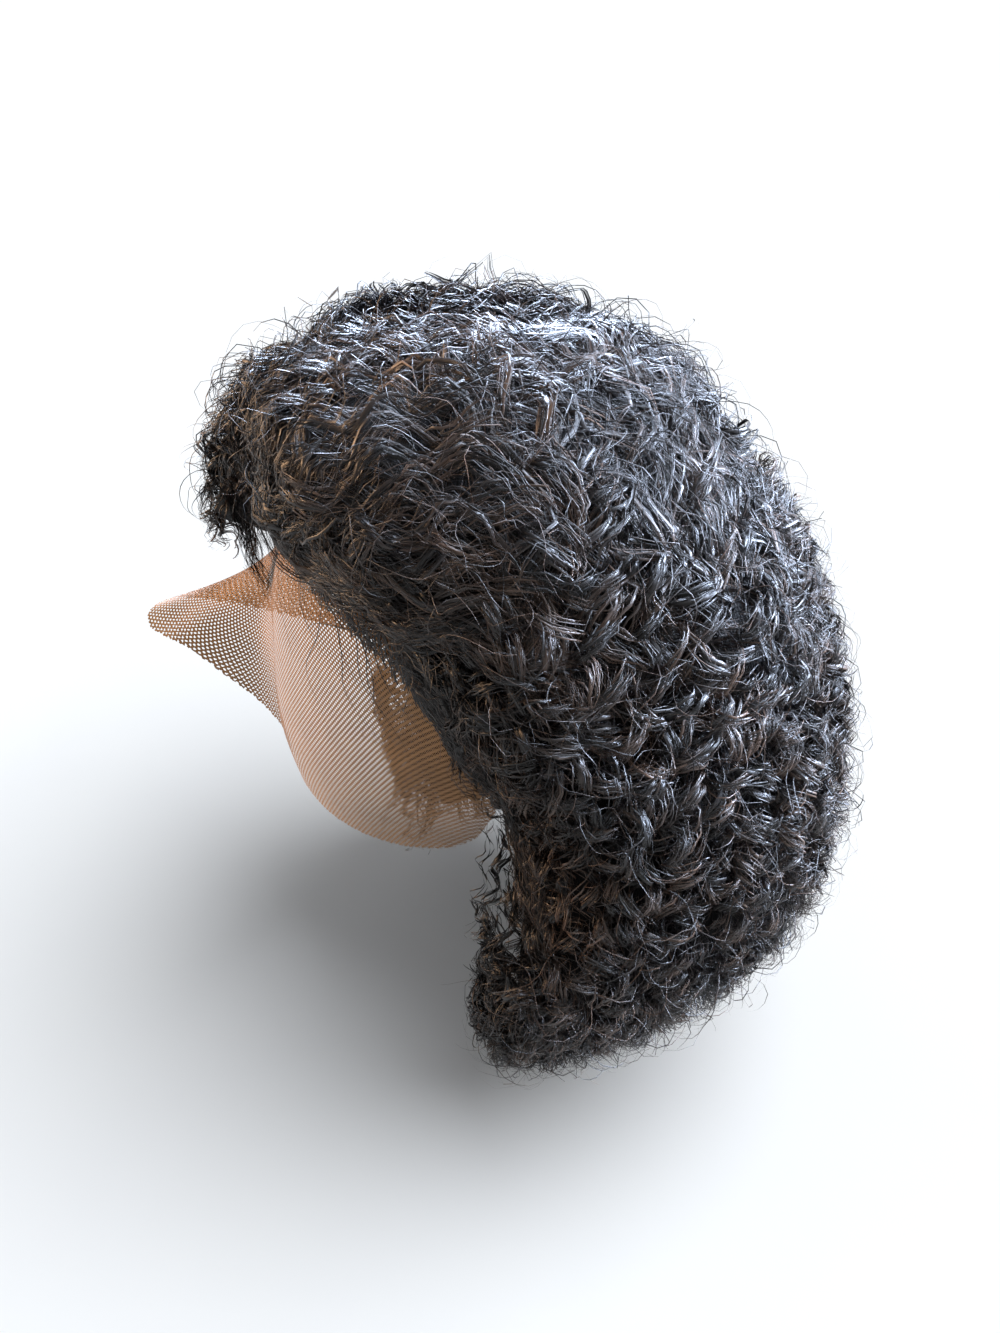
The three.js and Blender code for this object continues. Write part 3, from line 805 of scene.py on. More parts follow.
def walk(place, length, lean, before):
    """Walks with the hair through each place, from a share of the length before it.
    Gives lines, outward ways and depths."""
    step = (length / WALK_STEPS)[:, None]
    for _ in range(int(WALK_STEPS * before)):
        earlier = place - hair_at(place, lean)[3] * step
        place = np.where(has_hair(*off_map(earlier))[:, None], earlier, place)
    lines, outs, depths = [], [], []
    for _ in range(WALK_STEPS + 1):
        outer, out, depth, move = hair_at(place, lean)
        lines.append(outer)
        outs.append(out)
        depths.append(depth)
        place = place + move * step
    lines = np.stack(lines, 1)
    for _ in range(2):
        lines[:, 1:-1] = (lines[:, :-2] + 2 * lines[:, 1:-1] + lines[:, 2:]) / 4
    return lines, np.stack(outs, 1), np.stack(depths, 1)


def scatter(rng, count):
    """Places spread evenly over the hair's outer form, as azimuth and share."""
    azimuth = np.linspace(-180, 180, 181)
    share = np.linspace(0.01, 1, 120)
    wide, tall = np.meshgrid(azimuth, share, indexing="ij")
    outer, _ = hair_shell(wide, tall)
    across = outer[1:, :-1] - outer[:-1, :-1]
    down = outer[:-1, 1:] - outer[:-1, :-1]
    area = np.linalg.norm(np.cross(across, down), axis=-1)
    area[~has_hair(wide[:-1, :-1] + 1, tall[:-1, :-1])] = 0
    picked = rng.choice(area.size, count * PLACE_TRIES, p=area.ravel() / area.sum())
    row, column = np.unravel_index(picked, area.shape)
    found_way = azimuth[row] + rng.uniform(0, azimuth[1] - azimuth[0], len(picked))
    found_share = share[column] + rng.uniform(0, share[1] - share[0], len(picked))
    places = hair_shell(found_way, found_share)[0]
    kept = np.empty(count, int)
    for k in range(count):
        trial = np.arange(k * PLACE_TRIES, (k + 1) * PLACE_TRIES)
        gaps = np.linalg.norm(places[trial, None] - places[kept[:k]][None], axis=-1)
        kept[k] = trial[np.argmax(gaps.min(1))] if k else trial[0]
    return found_way[kept], found_share[kept]


def has_hair(azimuth, share):
    way = np.abs(turned(azimuth))
    front = share < hairline_share(azimuth)
    return np.where(way < FRONT_SPREAD, front, way > face_edge(share))


def section_of(azimuth):
    way = turned(azimuth)
    names = np.full(way.shape, "back_hair", dtype="U12")
    names[np.abs(way) < SIDE_SPREAD] = "left_hair"
    names[(np.abs(way) < SIDE_SPREAD) & (way < 0)] = "right_hair"
    names[np.abs(way) < FRONT_SPREAD] = "front_hair"
    return names


# What a lock is like where its group says nothing else. Sizes are in millimetres.
PLAIN_LOCK = {
    "loose": 0.3,
    "spread": 4,
    "frizz": 0.5,
    "flat": 0.85,
    "coiled": 0,
    "sink": 0,
    "sink_share": 0,
    "inside": 0,
    "lift": 0,
    "root": 0,
    "twist": 0.22,
    "lean": 0,
}


class Locks:
    """A group of locks: where each starts, and how long, deep, curled and full it is."""

    def __init__(self, azimuth, share, **facts):
        self.azimuth = azimuth
        self.share = share
        self.section = section_of(azimuth)
        self.facts = {
            key: np.broadcast_to(np.asarray(value, float), len(azimuth))
            for key, value in (PLAIN_LOCK | facts).items()
        }

    def __getitem__(self, key):
        return self.facts[key]

    def within(self, section):
        chosen = self.section == section
        facts = {key: value[chosen] for key, value in self.facts.items()}
        return Locks(self.azimuth[chosen], self.share[chosen], **facts)


def strand_cover(depth):
    """How deep the strands lie over the shaded inside."""
    return np.minimum(HAIR_COVER, HAIR_COVER_SHARE * depth)


def comb(rng, locks, strands, steps, wide=1.0, deeper=0.0, bend=1.3, before=0.0, twisted=0.0):
    """Strands of each lock: they follow its centre line in step, curl with it and part towards the tips."""
    count = len(locks.azimuth)
    start = on_map(locks.azimuth, locks.share)
    lines, outs, depths = walk(start, locks["length"], locks["lean"], before)
    owner = np.repeat(np.arange(count), strands)
    total = count * strands
    fact = {key: value[owner][:, None] for key, value in locks.facts.items()}
    share = np.linspace(0, 1, steps + 1)[None, :]
    reach = share * rng.uniform(*STRAND_LENGTHS, total)[:, None]
    at = reach * WALK_STEPS
    low = np.minimum(at.astype(int), WALK_STEPS - 1)
    part = (at - low)[..., None]
    pick = owner[:, None]
    line = mix(lines[pick, low], lines[pick, low + 1], part)
    out = unit(mix(outs[pick, low], outs[pick, low + 1], part))
    depth = mix(depths[pick, low], depths[pick, low + 1], part[..., 0])
    along = unit(np.gradient(line, axis=1))
    out = unit(out - along * dot(out, along)[..., None])
    beside = np.cross(along, out)
    gone = reach * fact["length"]
    turn = gone / fact["pitch"] * 2 * np.pi * np.sign(fact["phase"])
    turn = turn + fact["phase"] + fact["loose"] * rng.normal(0, 1, total)[:, None]
    radius = fact["radius"] * rng.uniform(*STRAND_RADII, total)[:, None]
    radius = radius * mix(0.35, 1, ease(reach, 0, 0.25))
    spread = mix(1.0, 0.6, reach) * fact["spread"]
    frizz = fact["frizz"] * rng.uniform(*STRAND_FRIZZ, total)[:, None]
    kink_run = np.maximum(rng.uniform(*KINK_RUN, total)[:, None], KINK_STEPS * fact["length"] / steps)
    kink = gone / kink_run * 2 * np.pi + rng.uniform(0, 6.28, total)[:, None]
    aside = radius * np.cos(turn) + rng.normal(0, 0.5, total)[:, None] * spread + frizz * np.cos(kink)
    cover = strand_cover(depth)
    sink = (fact["sink"] + deeper) * cover / HAIR_COVER + fact["sink_share"] * depth
    rise = fact["flat"] * radius * np.sin(turn) + frizz * np.sin(kink * 0.9) + fact["lift"] * reach**1.5
    rise = rise + np.clip(rng.normal(0, 0.3, total), -0.6, 0.35)[:, None] * spread - sink
    rise = rise - fact["root"] * (1 - ease(reach, 0, 0.22))
    lowest = LEAST_COVER - mix(cover, depth, fact["inside"])
    rise = np.maximum(rise, lowest)
    centres = line + beside * aside[..., None] + out * rise[..., None]
    ways = unit(np.gradient(centres, axis=1))
    around = beside * np.cos(turn)[..., None] + out * np.sin(turn)[..., None]
    twist = rng.normal(0, 1, total)[:, None] * (fact["twist"] + twisted)
    facing = out * np.cos(twist)[..., None] + beside * np.sin(twist)[..., None]
    facing = mix(facing, around, fact["coiled"][..., None])
    sides = unit(np.cross(ways, facing))
    thick = wide * fact["width"] * rng.uniform(*STRAND_WIDTHS, total)[:, None]
    widths = thick * mix(0.5, 1, ease(share, 0, 0.12)) * mix(1, 0.16, ease(share, 0.55, 1))
    tones = np.clip(locks["tone"][owner] + rng.normal(0, 0.22, total), 0, 1)
    return {"centres": centres, "sides": sides, "widths": widths, "tones": tones, "bend": bend}


def hanging_room(azimuth, share):
    """How far a strand can run down from a place before it passes the hem."""
    end = np.where(np.abs(turned(azimuth)) < FRONT_SPREAD, hairline_share(azimuth), 1.0)
    return np.maximum(end - share, 0) * HANG_PER_SHARE


def either_hand(rng, count):
    """A start angle for each curl, whose sign is the way it turns."""
    return rng.uniform(0.1, 6.28, count) * rng.choice((-1, 1), count)


def coil(rng, count, settings, radius, pitch):
    """A ringlet's radius and pitch, between shares of the usual ones, and its start angle."""
    return {
        "radius": settings.curl_radius * rng.uniform(*radius, count),
        "pitch": settings.curl_pitch * rng.uniform(*pitch, count),
        "phase": either_hand(rng, count),
    }


def scatter_in_height(rng, count, ends, above):
    """Places above or below a height drawn for each between two ends: azimuths, shares and heights."""
    azimuth, share = scatter(rng, count)
    height = hair_shell(azimuth, share)[0][:, 2]
    limit = rng.uniform(*ends, count)
    kept = height > limit if above else height < limit
    return azimuth[kept], share[kept], height[kept]


def wave_locks(rng, count, settings):
    """The crown and the front: loose waves of parallel fibres."""
    azimuth, share, height = scatter_in_height(rng, count, (-75, -25), above=True)
    count = len(azimuth)
    swept = swept_share(turned(azimuth), height)
    near_line = swept * ease(share / share_at(rim_height(azimuth)), 0.55, 0.95)
    length = rng.uniform(60, 105, count)
    over_lace = between(-azimuth, 6, 12, 30, 40)
    room = hanging_room(azimuth, share) + mix(rng.uniform(2, 20, count), -6, over_lace)
    room = np.maximum(room, 4)
    return Locks(
        azimuth,
        share,
        length=np.where(swept > 0.5, length, np.minimum(length, room + length / 2)),
        radius=settings.wave_depth * mix(1, 0.4, near_line) * rng.uniform(0.6, 1.25, count),
        pitch=settings.wave_length * rng.uniform(0.75, 1.3, count),
        phase=either_hand(rng, count),
        loose=0.4,
        spread=rng.uniform(6, 10.5, count),
        frizz=mix(1.0, 0.4, near_line),
        flat=0.5,
        lean=np.clip(rng.normal(0, 0.3, count), -0.4, 0.4) * (1 - near_line),
        sink=rng.uniform(1.5, 5.5, count),
        lift=rng.uniform(-1, 1.5, count),
        root=3,
        width=settings.strand_width,
        tone=rng.uniform(0.15, 0.85, count),
    )


def curl_locks(rng, count, settings):
    """The sides and the back: ringlets, each a coil of fibres that turn together."""
    azimuth, share, height = scatter_in_height(rng, count, (-55, -5), above=False)
    count = len(azimuth)
    tight = ease(-height, 40, 190)
    swept = swept_share(turned(azimuth), height)
    length = mix(80, 54, tight) * rng.uniform(0.8, 1.2, count)
    room = hanging_room(azimuth, share) + rng.uniform(2, 20, count)
    from_edge = np.abs(turned(azimuth)) - face_edge(share)
    wide = mix(1.25, 0.8, tight) * mix(1, 0.5, swept) * mix(0.45, 1, ease(from_edge, 0, 10))
    return Locks(
        azimuth,
        share,
        length=np.minimum(length, room + length / 2),
        radius=settings.curl_radius * wide * rng.uniform(0.65, 1.3, count),
        pitch=settings.curl_pitch * mix(1.5, 0.85, tight) * rng.uniform(0.75, 1.35, count),
        phase=either_hand(rng, count),
        loose=0.6,
        spread=rng.uniform(2.5, 5.5, count),
        frizz=0.8,
        coiled=0.7,
        lean=rng.normal(0, 0.38, count) * (1 - swept),
        sink=rng.uniform(0, 6, count),
        lift=rng.uniform(-1, 5, count),
        root=3,
        width=settings.strand_width,
        tone=rng.uniform(0.1, 0.9, count),
    )


def edge_locks(rng, count, settings):
    """Separate ringlets that hang at every depth along the front edges of the sides and of the swept fall."""
    # The first half of them hang on the left, and the last fifth or so on the swept fall.
    part = rng.uniform(0, 1, count)
    height = rng.uniform(-225, -108, count)
    share = share_at(height)
    left = face_edge(share) + rng.uniform(-1, 13, count) - 4 * ease(height, -205, -150)
    azimuth = np.where(part < 0.5, left, -left)
    falls = part > 0.78
    azimuth = np.where(falls, rng.uniform(-FRONT_SPREAD, -34, count), azimuth)
    share = np.where(falls, share_at(rim_height(azimuth)) - 0.03, share)
    room = hanging_room(azimuth, share) + rng.uniform(4, 24, count)
    return Locks(
        azimuth,
        share,
        length=np.clip(room, 24, 70),
        **coil(rng, count, settings, radius=(0.45, 0.7), pitch=(0.36, 0.55)),
        spread=1,
        frizz=0.2,
        coiled=0.8,
        sink_share=rng.uniform(0, 0.7, count),
        inside=1,
        width=settings.strand_width,
        tone=rng.uniform(0.1, 0.8, count),
    )


def line_locks(rng, count, settings):
    """The first rows along the hairline and the temple, which lie close and sweep back."""
    on_line = rng.uniform(0, 1, count) < 0.6
    azimuth = rng.uniform(-24, FRONT_SPREAD, count)
    share = hairline_share(azimuth) - rng.uniform(0, 0.03, count)
    temple_share = share_at(rng.uniform(-135, -60, count))
    azimuth = np.where(on_line, azimuth, face_edge(temple_share) + rng.uniform(0.2, 6, count))
    share = np.where(on_line, share, temple_share)
    return Locks(
        azimuth,
        share,
        length=rng.uniform(28, 58, count),
        radius=1.5 * rng.uniform(0.4, 1.4, count),
        pitch=26 * rng.uniform(0.7, 1.3, count),
        phase=either_hand(rng, count),
        spread=4.5,
        frizz=0.4,
        sink=rng.uniform(0, 3, count),
        lift=rng.uniform(-1, 2, count),
        width=settings.strand_width * 0.85,
        tone=rng.uniform(0, 0.7, count),
    )


def inner_locks(rng, count, settings):
    """Locks on the head side below the cap, which show through the face opening and from below."""
    azimuth = rng.uniform(52, 308, count)
    share = mix(share_at(rim_height(azimuth)), HAIR_HEM_COVER, rng.uniform(0, 1, count))
    inside = has_hair(azimuth, share)
    azimuth, share = azimuth[inside], share[inside]
    count = len(azimuth)
    room = hanging_room(azimuth, share) + rng.uniform(0, 18, count)
    return Locks(
        azimuth,
        share,
        length=np.clip(room, 20, 70),
        **coil(rng, count, settings, radius=(0.4, 0.8), pitch=(0.9, 1.4)),
        spread=6,
        flat=0.4,
        sink=rng.uniform(-3, -1, count),
        sink_share=1,
        inside=1,
        width=settings.strand_width * 1.25,
        tone=rng.uniform(0, 0.5, count),
    )


def hem_locks(rng, count, settings):
    """Ends that hang through the whole depth of the hair at its hem."""
    azimuth = rng.uniform(64, 296, count)
    share = rng.uniform(0.8, 0.96, count)
    room = hanging_room(azimuth, share) + rng.uniform(2, 22, count)
    return Locks(
        azimuth,
        share,
        length=np.maximum(room, 18),
        **coil(rng, count, settings, radius=(0.5, 0.9), pitch=(0.7, 1.1)),
        loose=0.5,
        frizz=0.7,
        coiled=0.6,
        sink_share=rng.uniform(0.05, 0.95, count),
        inside=1,
        width=settings.strand_width,
        tone=rng.uniform(0.3, 1.0, count),
    )


def stray_locks(rng, count, settings):
    """Single fine hairs that stand off the form and soften its outline."""
    azimuth, share = scatter(rng, count)
    room = hanging_room(azimuth, share) + rng.uniform(2, 18, count)
    return Locks(
        azimuth,
        share,
        length=np.clip(room, 22, rng.uniform(30, 75, count)),
        **coil(rng, count, settings, radius=(0.5, 1.6), pitch=(1.2, 2.6)),
        spread=1,
        flat=1,
        lean=rng.normal(0, 0.8, count),
        sink=rng.uniform(-3, 1, count),
        lift=rng.uniform(1, 8, count),
        root=3,
        twist=1.5,
        width=settings.strand_width * 0.7,
        tone=rng.uniform(0.5, 1, count),
    )


def lace_frame(u, v):
    """Points of the lace, the ways out of it, and its length across for a unit of u and down for one of v."""
    point = lace_point(u, v)
    across = (lace_point(u + NUDGE, v) - point) / NUDGE
    down = (lace_point(u, v + NUDGE) - point) / NUDGE
    outward = unit(np.cross(down, across))
    return point, outward, np.linalg.norm(across, axis=-1), np.linalg.norm(down, axis=-1)


def lace_hairs(rng, azimuth, from_root, steps, length, lean, wave, wave_length, rise, width):
    """Hairs on the lace: each starts a distance from the sewn root and runs back to it by its length,
    or away from it where the length is negative."""
    count = len(azimuth)
    u = (azimuth + LACE_SPREAD) / (2 * LACE_SPREAD)
    _, _, wide, tall = lace_frame(u, np.full(count, 0.1))
    share = np.linspace(0, 1, steps + 1)[None, :]
    gone = share * length[:, None]
    turn = gone / wave_length * 2 * np.pi + rng.uniform(0, 6.28, count)[:, None]
    aside = gone * np.sin(lean)[:, None] + wave * share * np.sin(turn)
    along = gone * np.cos(lean)[:, None]
    at_u = u[:, None] + aside / wide[:, None]
    at_v = np.clip((from_root[:, None] - along) / tall[:, None], -0.3, 1)
    point, outward, _, _ = lace_frame(at_u, at_v)
    centres = point + outward * (0.4 + rise * np.abs(gone))[..., None]
    ways = unit(np.gradient(centres, axis=1))
    widths = width * mix(1, 0.3, ease(share, 0.4, 1)) * np.ones((count, 1))
    tones = rng.uniform(0, 0.6, count)
    sides = unit(np.cross(ways, outward))
    return {"centres": centres, "sides": sides, "widths": widths, "tones": tones, "bend": 0.8}


def body_grid(section):
    """The shaded inside of one section: a closed bag from the crown to the hem, kept below the strands."""
    first, last = SECTIONS[section]
    rows, columns = 48, 40
    across, down = np.meshgrid(np.linspace(0, 1, columns), np.linspace(0.012, 1, rows))
    azimuth = mix(first, last, across)
    share = down * HAIR_HEM_COVER
    edge_cover = mix(HAIR_EDGE_COVER, HAIR_LOW_EDGE_COVER, ease(share, 0.6, 0.75))
    if section == "front_hair":
        share = down * hairline_share(azimuth)
    elif section == "left_hair":
        azimuth = mix(face_edge(share) + edge_cover, last, across)
    elif section == "right_hair":
        azimuth = mix(first, -face_edge(share) - edge_cover, across)
    outer, foot = hair_shell(azimuth, share)
    depth = np.linalg.norm(outer - foot, axis=-1)
    kept = depth - strand_cover(depth)
    outward = unit(outer - foot)
    outer = foot + outward * kept[..., None]
    foot = foot + outward * np.minimum(HAIR_INNER_COVER, 0.5 * kept)[..., None]
    loop = np.concatenate([outer, foot[:, ::-1], outer[:, :1]], 1)
    middle = (outer[-1] + foot[-1]) / 2
    closing = np.concatenate([middle, middle[::-1], middle[:1]])[None]
    return np.concatenate([loop, closing])


# Settings, as a user would change them.


class WigHairSettings(bpy.types.PropertyGroup):
    """Colours of the hair, its sizes in millimetres, and its counts over the whole wig."""

    root_colour: StringProperty(name="Root colour", description="Hair near the cap", default="#080605")
    mid_colour: StringProperty(name="Hair colour", description="Hair along its length", default="#1a1412")
    tip_colour: StringProperty(name="Tip colour", description="Worn ends", default="#6a5140")
    # The painted shade of the hair's inside, darker than the strands.
    painted_shade_colour: StringProperty(name="Inner colour", description="Shaded inside", default="#050404")
    strand_width: FloatProperty(name="Strand width", description="Width of a fine strand, mm", default=0.44)
    wisp_width: FloatProperty(name="Wisp width", description="A wisp's width in strands", default=4.6)
    fibre_pitch: FloatProperty(name="Fibre pitch", description="Between drawn fibres, mm", default=0.8)
    fibre_run: FloatProperty(name="Fibre run", description="Length of a drawn fibre, mm", default=70.0)
    mass_girth: FloatProperty(name="Section girth", description="Round a section's inside, mm", default=420.0)
    mass_fall: FloatProperty(name="Section fall", description="Crown to hem of a section, mm", default=320.0)
    wave_depth: FloatProperty(name="Wave depth", description="Half width of a crown wave, mm", default=6.0)
    wave_length: FloatProperty(name="Wave length", description="Length of a crown wave, mm", default=34.0)
    curl_radius: FloatProperty(name="Curl radius", description="Radius of a ringlet, mm", default=4.7)
    curl_pitch: FloatProperty(name="Curl pitch", description="Length of one ringlet turn, mm", default=15.5)
    waves: IntProperty(name="Waves", description="Places tried for a wave", default=820)
    curls: IntProperty(name="Ringlets", description="Places tried for a ringlet", default=980)
    edges: IntProperty(name="Edge ringlets", description="Separate ringlets at the front edges", default=84)
    lines: IntProperty(name="Hairline locks", description="Locks at the hairline and the temple", default=120)
    hems: IntProperty(name="Hem locks", description="Ends that hang at the hem", default=180)
    inner: IntProperty(name="Inner locks", description="Places tried on the head side", default=130)
    strays: IntProperty(name="Stray hairs", description="Single hairs that stand off the form", default=2000)
    first_hairs: IntProperty(name="First hairs", description="Short hairs knotted in the lace", default=1250)
    first_band: FloatProperty(name="First band", description="Width of their band, mm", default=20.0)
    long_hairs: IntProperty(name="Long hairs", description="Stray hairs over the lace", default=16)


class WigLaceSettings(bpy.types.PropertyGroup):
    """Colours of the lace and its sizes in millimetres."""

    lace_colour: StringProperty(name="Lace colour", description="Thread colour", default="#96693a")
    lace_shade: StringProperty(name="Lace shade", description="Thread in the shade", default="#6d4a26")
    mesh_pitch: FloatProperty(name="Mesh pitch", description="From hole to hole, mm", default=1.5)
    hole_share: FloatProperty(name="Hole share", description="Hole's width of the pitch", default=0.5)


class WigCapSettings(bpy.types.PropertyGroup):
    """Colours of the cap and its sizes in millimetres."""

    net_colour: StringProperty(name="Net colour", description="Elastic thread", default="#2a2523")
    # Painted shade in the net's holes.
    hole_painted_shade: StringProperty(name="Hole colour", description="Between threads", default="#070606")
    net_pitch: FloatProperty(name="Net pitch", description="From hole to hole, mm", default=2.2)
    weft_pitch: FloatProperty(name="Weft pitch", description="Between rows of hair, mm", default=9.0)
    girth_mm: FloatProperty(name="Girth", description="Round the head, mm", default=535.0)
    rise_mm: FloatProperty(name="Rise", description="From crown to rim, mm", default=180.0)


class WigStageSettings(bpy.types.PropertyGroup):
    """Place of the floor."""

    floor_gap: FloatProperty(name="Floor gap", description="Below the hair", default=0.02, unit="LENGTH")


# Operators.

# The first hairs: the azimuths that they fill, how fast they thin out from the sewn root, and how far behind
# it they start, in millimetres.
FIRST_SPAN = (-20, 63)
FIRST_THINNING = 1.5
FIRST_OVERLAP = 4
# The stage: the floor's half width, and where the lamps point.
FLOOR_REACH = 40.0
LIT_POINT = Vector((0.0, 0.0, -0.1))
LAMP_SPREAD = math.radians(45)
# Each lamp's name, kind, place, size or the sun's angle, power and tint.
LAMPS = [
    ("soft_sky_light", "SUN", (0.2, 0.5, 1.0), math.radians(55), 3.4, (0.92, 0.96, 1.0)),
    ("cool_top_light", "AREA", (0.0, 0.5, 1.15), 0.5, 4.0, (0.62, 0.75, 1.0)),
    ("cool_window_light", "AREA", (0.2, 1.3, 0.25), 0.9, 27.0, (0.64, 0.76, 1.0)),
    ("cool_far_light", "AREA", (-1.2, 0.35, 0.5), 0.8, 14.0, (0.62, 0.75, 1.0)),
    ("warm_front_light", "AREA", (-0.6, -0.85, 0.2), 0.5, 1.8, (1.0, 0.62, 0.36)),
]
# White paper all round in the picture, which lights the wig only softly.
WORLD_TINT = (0.96, 0.98, 1.0, 1.0)
WORLD_STRENGTHS = {"To Min": 0.38, "To Max": 1.0}
# The camera's ways to the right, up and back, its place, and its focal length in pixels of the picture.
CAMERA_WAYS = ((0.2756, 0.9613, 0.0), (-0.5718, 0.1640, 0.8039), (0.7727, -0.2216, 0.5948))
CAMERA_PLACE = (0.3748, -0.1097, 0.1649)
FOCAL_PIXELS = 1150
PICTURE_HEIGHT = 1333
SENSOR_SIZE = 36.0


class WIG_OT_knit_cap(bpy.types.Operator):
    """Knits the cap that the head goes into"""

    bl_idname = "wig.knit_cap"
    bl_label = "Knit cap"

    def execute(self, context):
        settings = context.scene.wig_cap
        rows, columns = 40, 73
        azimuth, down = np.meshgrid(np.linspace(0, 360, columns), np.linspace(0.004, 1, rows))
        level = rim_level(azimuth) * down
        weft = np.abs(np.sin(np.pi * settings.rise_mm * down / settings.weft_pitch)) ** WEFT_POWER
        inner = head_point(azimuth, level, WEFT_DEPTH * (1 - weft))
        outer = head_point(azimuth, level, CAP_WALL)
        rolled = head_point(azimuth[-1:], level[-1:], CAP_WALL / 2)
        rolled[..., 2] -= RIM_ROLL
        points = np.concatenate([outer, rolled, inner[::-1]])
        piece = finish_piece(grid_mesh("knitted_cap", points), cap_net(settings))
        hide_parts("wig_cap")
        return {"FINISHED"}


class WIG_OT_weave_lace(bpy.types.Operator):
    """Knits the lace front as an open net of six-sided holes"""

    bl_idname = "wig.weave_lace"
    bl_label = "Weave lace"

    def execute(self, context):
        settings = context.scene.wig_lace
        fine_u = np.linspace(0, 1, 241)
        fine_v = np.linspace(0, 1, 121)
        u, v = np.meshgrid(fine_u, fine_v)
        points = lace_point(u, v)
        run = np.linalg.norm(np.diff(points, axis=0), axis=-1)
        run = np.concatenate([np.zeros((1, len(fine_u))), np.cumsum(run, 0)])
        tall = run[-1]
        wide = np.concatenate([[0], np.cumsum(np.linalg.norm(np.diff(points, axis=1), axis=-1).mean(0))])
        flat, faces = six_sided_net(wide[-1], tall.max(), settings.mesh_pitch, settings.hole_share)
        at_u = np.interp(flat[:, 0], wide, fine_u)
        cut = np.interp(flat[:, 0], wide, tall)
        inside = (flat[:, 0] >= 0) & (flat[:, 0] <= wide[-1]) & (flat[:, 1] >= 0) & (flat[:, 1] <= cut)
        kept, faces = np.unique(faces[inside[faces].all(1)], return_inverse=True)
        flat, at_u, faces = flat[kept], at_u[kept], faces.reshape(-1, 3)
        column = (at_u * (len(fine_u) - 1)).round().astype(int)
        at_v = np.empty(len(flat))
        for k in np.unique(column):
            chosen = column == k
            at_v[chosen] = np.interp(flat[chosen, 1], run[:, k], fine_v)
        uv = flat / (wide[-1], tall.max())
        mesh = mesh_from_arrays("lace_net", lace_point(at_u, at_v), faces, uv[faces])
        piece = finish_piece(mesh, lace_thread(settings))
        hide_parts("lace_front")
        return {"FINISHED"}


class WIG_OT_grow_hair(bpy.types.Operator):
    """Grows the four hair sections: a shaded inside and combed strands over it"""

    bl_idname = "wig.grow_hair"
    bl_label = "Grow hair"

    def execute(self, context):
        settings = context.scene.wig_hair
        rng = np.random.default_rng(SEED)
        fibres = {"wisps": hair_fibre(settings, parted_wisps=True), "strands": hair_fibre(settings)}
        depths = hair_depths(settings)
        thin = 1
        wisp = {"wide": settings.wisp_width, "deeper": 1.2, "bend": 0.7}
        through = {"before": 0.5}
        twisted = through | {"twisted": 0.55}
        waves = wave_locks(rng, settings.waves // thin, settings)
        curls = curl_locks(rng, settings.curls // thin, settings)
        edges = edge_locks(rng, settings.edges // thin, settings)
        lines = line_locks(rng, settings.lines // thin, settings)
        hems = hem_locks(rng, settings.hems // thin, settings)
        inner = inner_locks(rng, settings.inner // thin, settings)
        strays = stray_locks(rng, settings.strays // thin, settings)
        # Locks, strands in each, steps along a strand, and how they are combed.
        layers = {
            "wisps": [
                (waves, 7, 18, wisp | through),
                (curls, 5, 28, wisp | through),
                (lines, 3, 12, wisp),
                (hems, 2, 26, wisp),
                (inner, 4, 16, wisp),
            ],
            "strands": [
                (waves, 8, 18, twisted),
                (curls, 6, 28, twisted),
                (edges, 4, 90, {}),
                (lines, 8, 12, {}),
                (hems, 3, 26, {}),
                (strays, 1, 16, through),
            ],
        }
        for section in SECTIONS:
            mass = finish_piece(grid_mesh(section + "_mass", body_grid(section)), depths)
            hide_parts(section)
            for layer, groups in layers.items():
                batches = [
                    comb(rng, locks.within(section), strands, steps, **form)
                    for locks, strands, steps, form in groups
                    if np.any(locks.section == section)
                ]
                piece = finish_piece(ribbon_mesh(f"{section}_{layer}", batches), fibres[layer])
        return {"FINISHED"}


class WIG_OT_ventilate_hairline(bpy.types.Operator):
    """Ties short first hairs into the lace along the hairline, each with a knot, and a few long strays"""

    bl_idname = "wig.ventilate_hairline"
    bl_label = "Ventilate hairline"

    def execute(self, context):
        settings = context.scene.wig_hair
        rng = np.random.default_rng(SEED + 1)
        count = settings.first_hairs
        azimuth = rng.uniform(*FIRST_SPAN, count)
        from_root = settings.first_band * rng.uniform(0, 1, count) ** FIRST_THINNING - FIRST_OVERLAP
        short = lace_hairs(
            rng,
            azimuth,
            from_root,
            steps=12,
            length=rng.uniform(9, 24, count),
            lean=rng.normal(0, 0.5, count),
            wave=1.2,
            wave_length=9,
            rise=0.25,
            width=settings.strand_width,
        )
        knots = lace_hairs(
            rng,
            azimuth,
            from_root,
            steps=1,
            length=np.full(count, 0.8),
            lean=np.zeros(count),
            wave=0,
            wave_length=9,
            rise=0,
            width=0.7,
        )
        few = settings.long_hairs
        long = lace_hairs(
            rng,
            rng.uniform(-4, 40, few),
            np.full(few, float(LACE_BAND)),
            steps=36,
            length=-rng.uniform(24, 54, few),
            lean=rng.normal(0, 0.6, few),
            wave=5,
            wave_length=42,
            rise=0.03,
            width=settings.strand_width * 0.8,
        )
        piece = finish_piece(ribbon_mesh("hairline_hairs", [short, knots, long]), hair_fibre(settings))
        return {"FINISHED"}


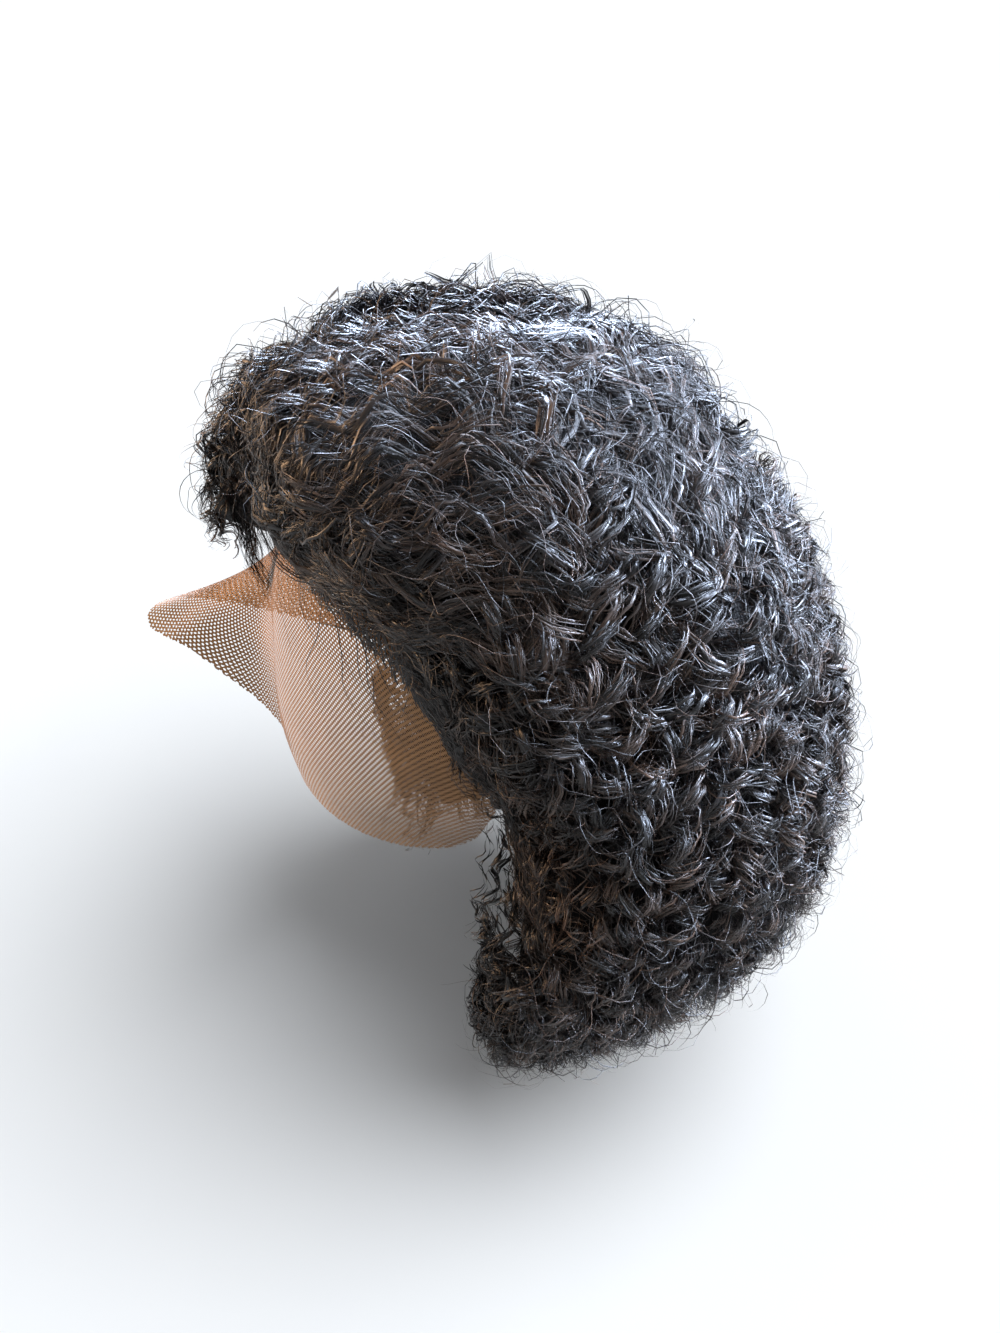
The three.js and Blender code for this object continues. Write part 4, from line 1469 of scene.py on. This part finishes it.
class WIG_OT_set_stage(bpy.types.Operator):
    """Sets the pale floor, the soft light and the camera"""

    bl_idname = "wig.set_stage"
    bl_label = "Set stage"

    def execute(self, context):
        scene = context.scene
        settings = scene.wig_stage
        floor_z = CAD_BOX[0][2] - settings.floor_gap
        mesh = bpy.data.meshes.new("floor")
        ways = ((-1, -1), (1, -1), (1, 1), (-1, 1))
        corners = [(x * FLOOR_REACH, y * FLOOR_REACH, floor_z) for x, y in ways]
        mesh.from_pydata(corners, [], [(0, 1, 2, 3)])
        mesh.materials.append(floor_paper())
        floor = bpy.data.objects.new("floor", mesh)
        scene.collection.objects.link(floor)
        world = bpy.data.worlds.new("studio_white")
        world.use_nodes = True
        tree = world.node_tree
        seen = add_node(tree, "ShaderNodeLightPath")
        links = {"Value": (seen, "Is Camera Ray")}
        bright = add_node(tree, "ShaderNodeMapRange", (), WORLD_STRENGTHS, links)
        links = {"Strength": (bright, "Result")}
        set_sockets(tree, tree.nodes["Background"], {"Color": WORLD_TINT}, links)
        scene.world = world
        # The area lamps are kept off the paper, so that it stays an even white behind the net.
        wig = bpy.data.collections.new("wig_under_lamps")
        for piece in scene.objects:
            if piece.type == "MESH" and piece != floor:
                wig.objects.link(piece)
        for name, kind, place, size, power, tint in LAMPS:
            lamp = bpy.data.lights.new(name, kind)
            lamp.energy = power
            lamp.color = tint
            holder = bpy.data.objects.new(name, lamp)
            if kind == "SUN":
                lamp.angle = size
            else:
                lamp.size = size
                lamp.spread = LAMP_SPREAD
                holder.light_linking.receiver_collection = wig
            holder.location = place
            holder.rotation_euler = (LIT_POINT - holder.location).to_track_quat("-Z", "Y").to_euler()
            scene.collection.objects.link(holder)
        lens = bpy.data.cameras.new("camera")
        lens.sensor_width = SENSOR_SIZE
        lens.lens = SENSOR_SIZE * FOCAL_PIXELS / PICTURE_HEIGHT
        lens.clip_start = 0.01
        camera = bpy.data.objects.new("camera", lens)
        turn = Matrix(CAMERA_WAYS).transposed().to_4x4()
        camera.matrix_world = Matrix.Translation(CAMERA_PLACE) @ turn
        scene.collection.objects.link(camera)
        scene.camera = camera
        scene.view_settings.view_transform = "Standard"
        return {"FINISHED"}


class WIG_PT_panel(bpy.types.Panel):
    """Lists the wig's makers"""

    bl_idname = "WIG_PT_panel"
    bl_label = "Lace Front Wig"
    bl_space_type = "VIEW_3D"
    bl_region_type = "UI"
    bl_category = "Wig"

    def draw(self, context):
        for operator in OPERATORS:
            self.layout.operator(operator.bl_idname)


SETTINGS = {
    "wig_hair": WigHairSettings,
    "wig_lace": WigLaceSettings,
    "wig_cap": WigCapSettings,
    "wig_stage": WigStageSettings,
}
OPERATORS = [
    WIG_OT_knit_cap,
    WIG_OT_weave_lace,
    WIG_OT_grow_hair,
    WIG_OT_ventilate_hairline,
    WIG_OT_set_stage,
]


def register():
    for kind in [*SETTINGS.values(), *OPERATORS, WIG_PT_panel]:
        bpy.utils.register_class(kind)
    for name, kind in SETTINGS.items():
        setattr(bpy.types.Scene, name, PointerProperty(type=kind))


def unregister():
    for name in SETTINGS:
        delattr(bpy.types.Scene, name)
    for kind in [WIG_PT_panel, *reversed(OPERATORS), *SETTINGS.values()]:
        bpy.utils.unregister_class(kind)


def main():
    register()
    bpy.ops.wig.knit_cap()
    bpy.ops.wig.weave_lace()
    bpy.ops.wig.grow_hair()
    bpy.ops.wig.ventilate_hairline()
    bpy.ops.wig.set_stage()


if __name__ == "__main__":
    main()
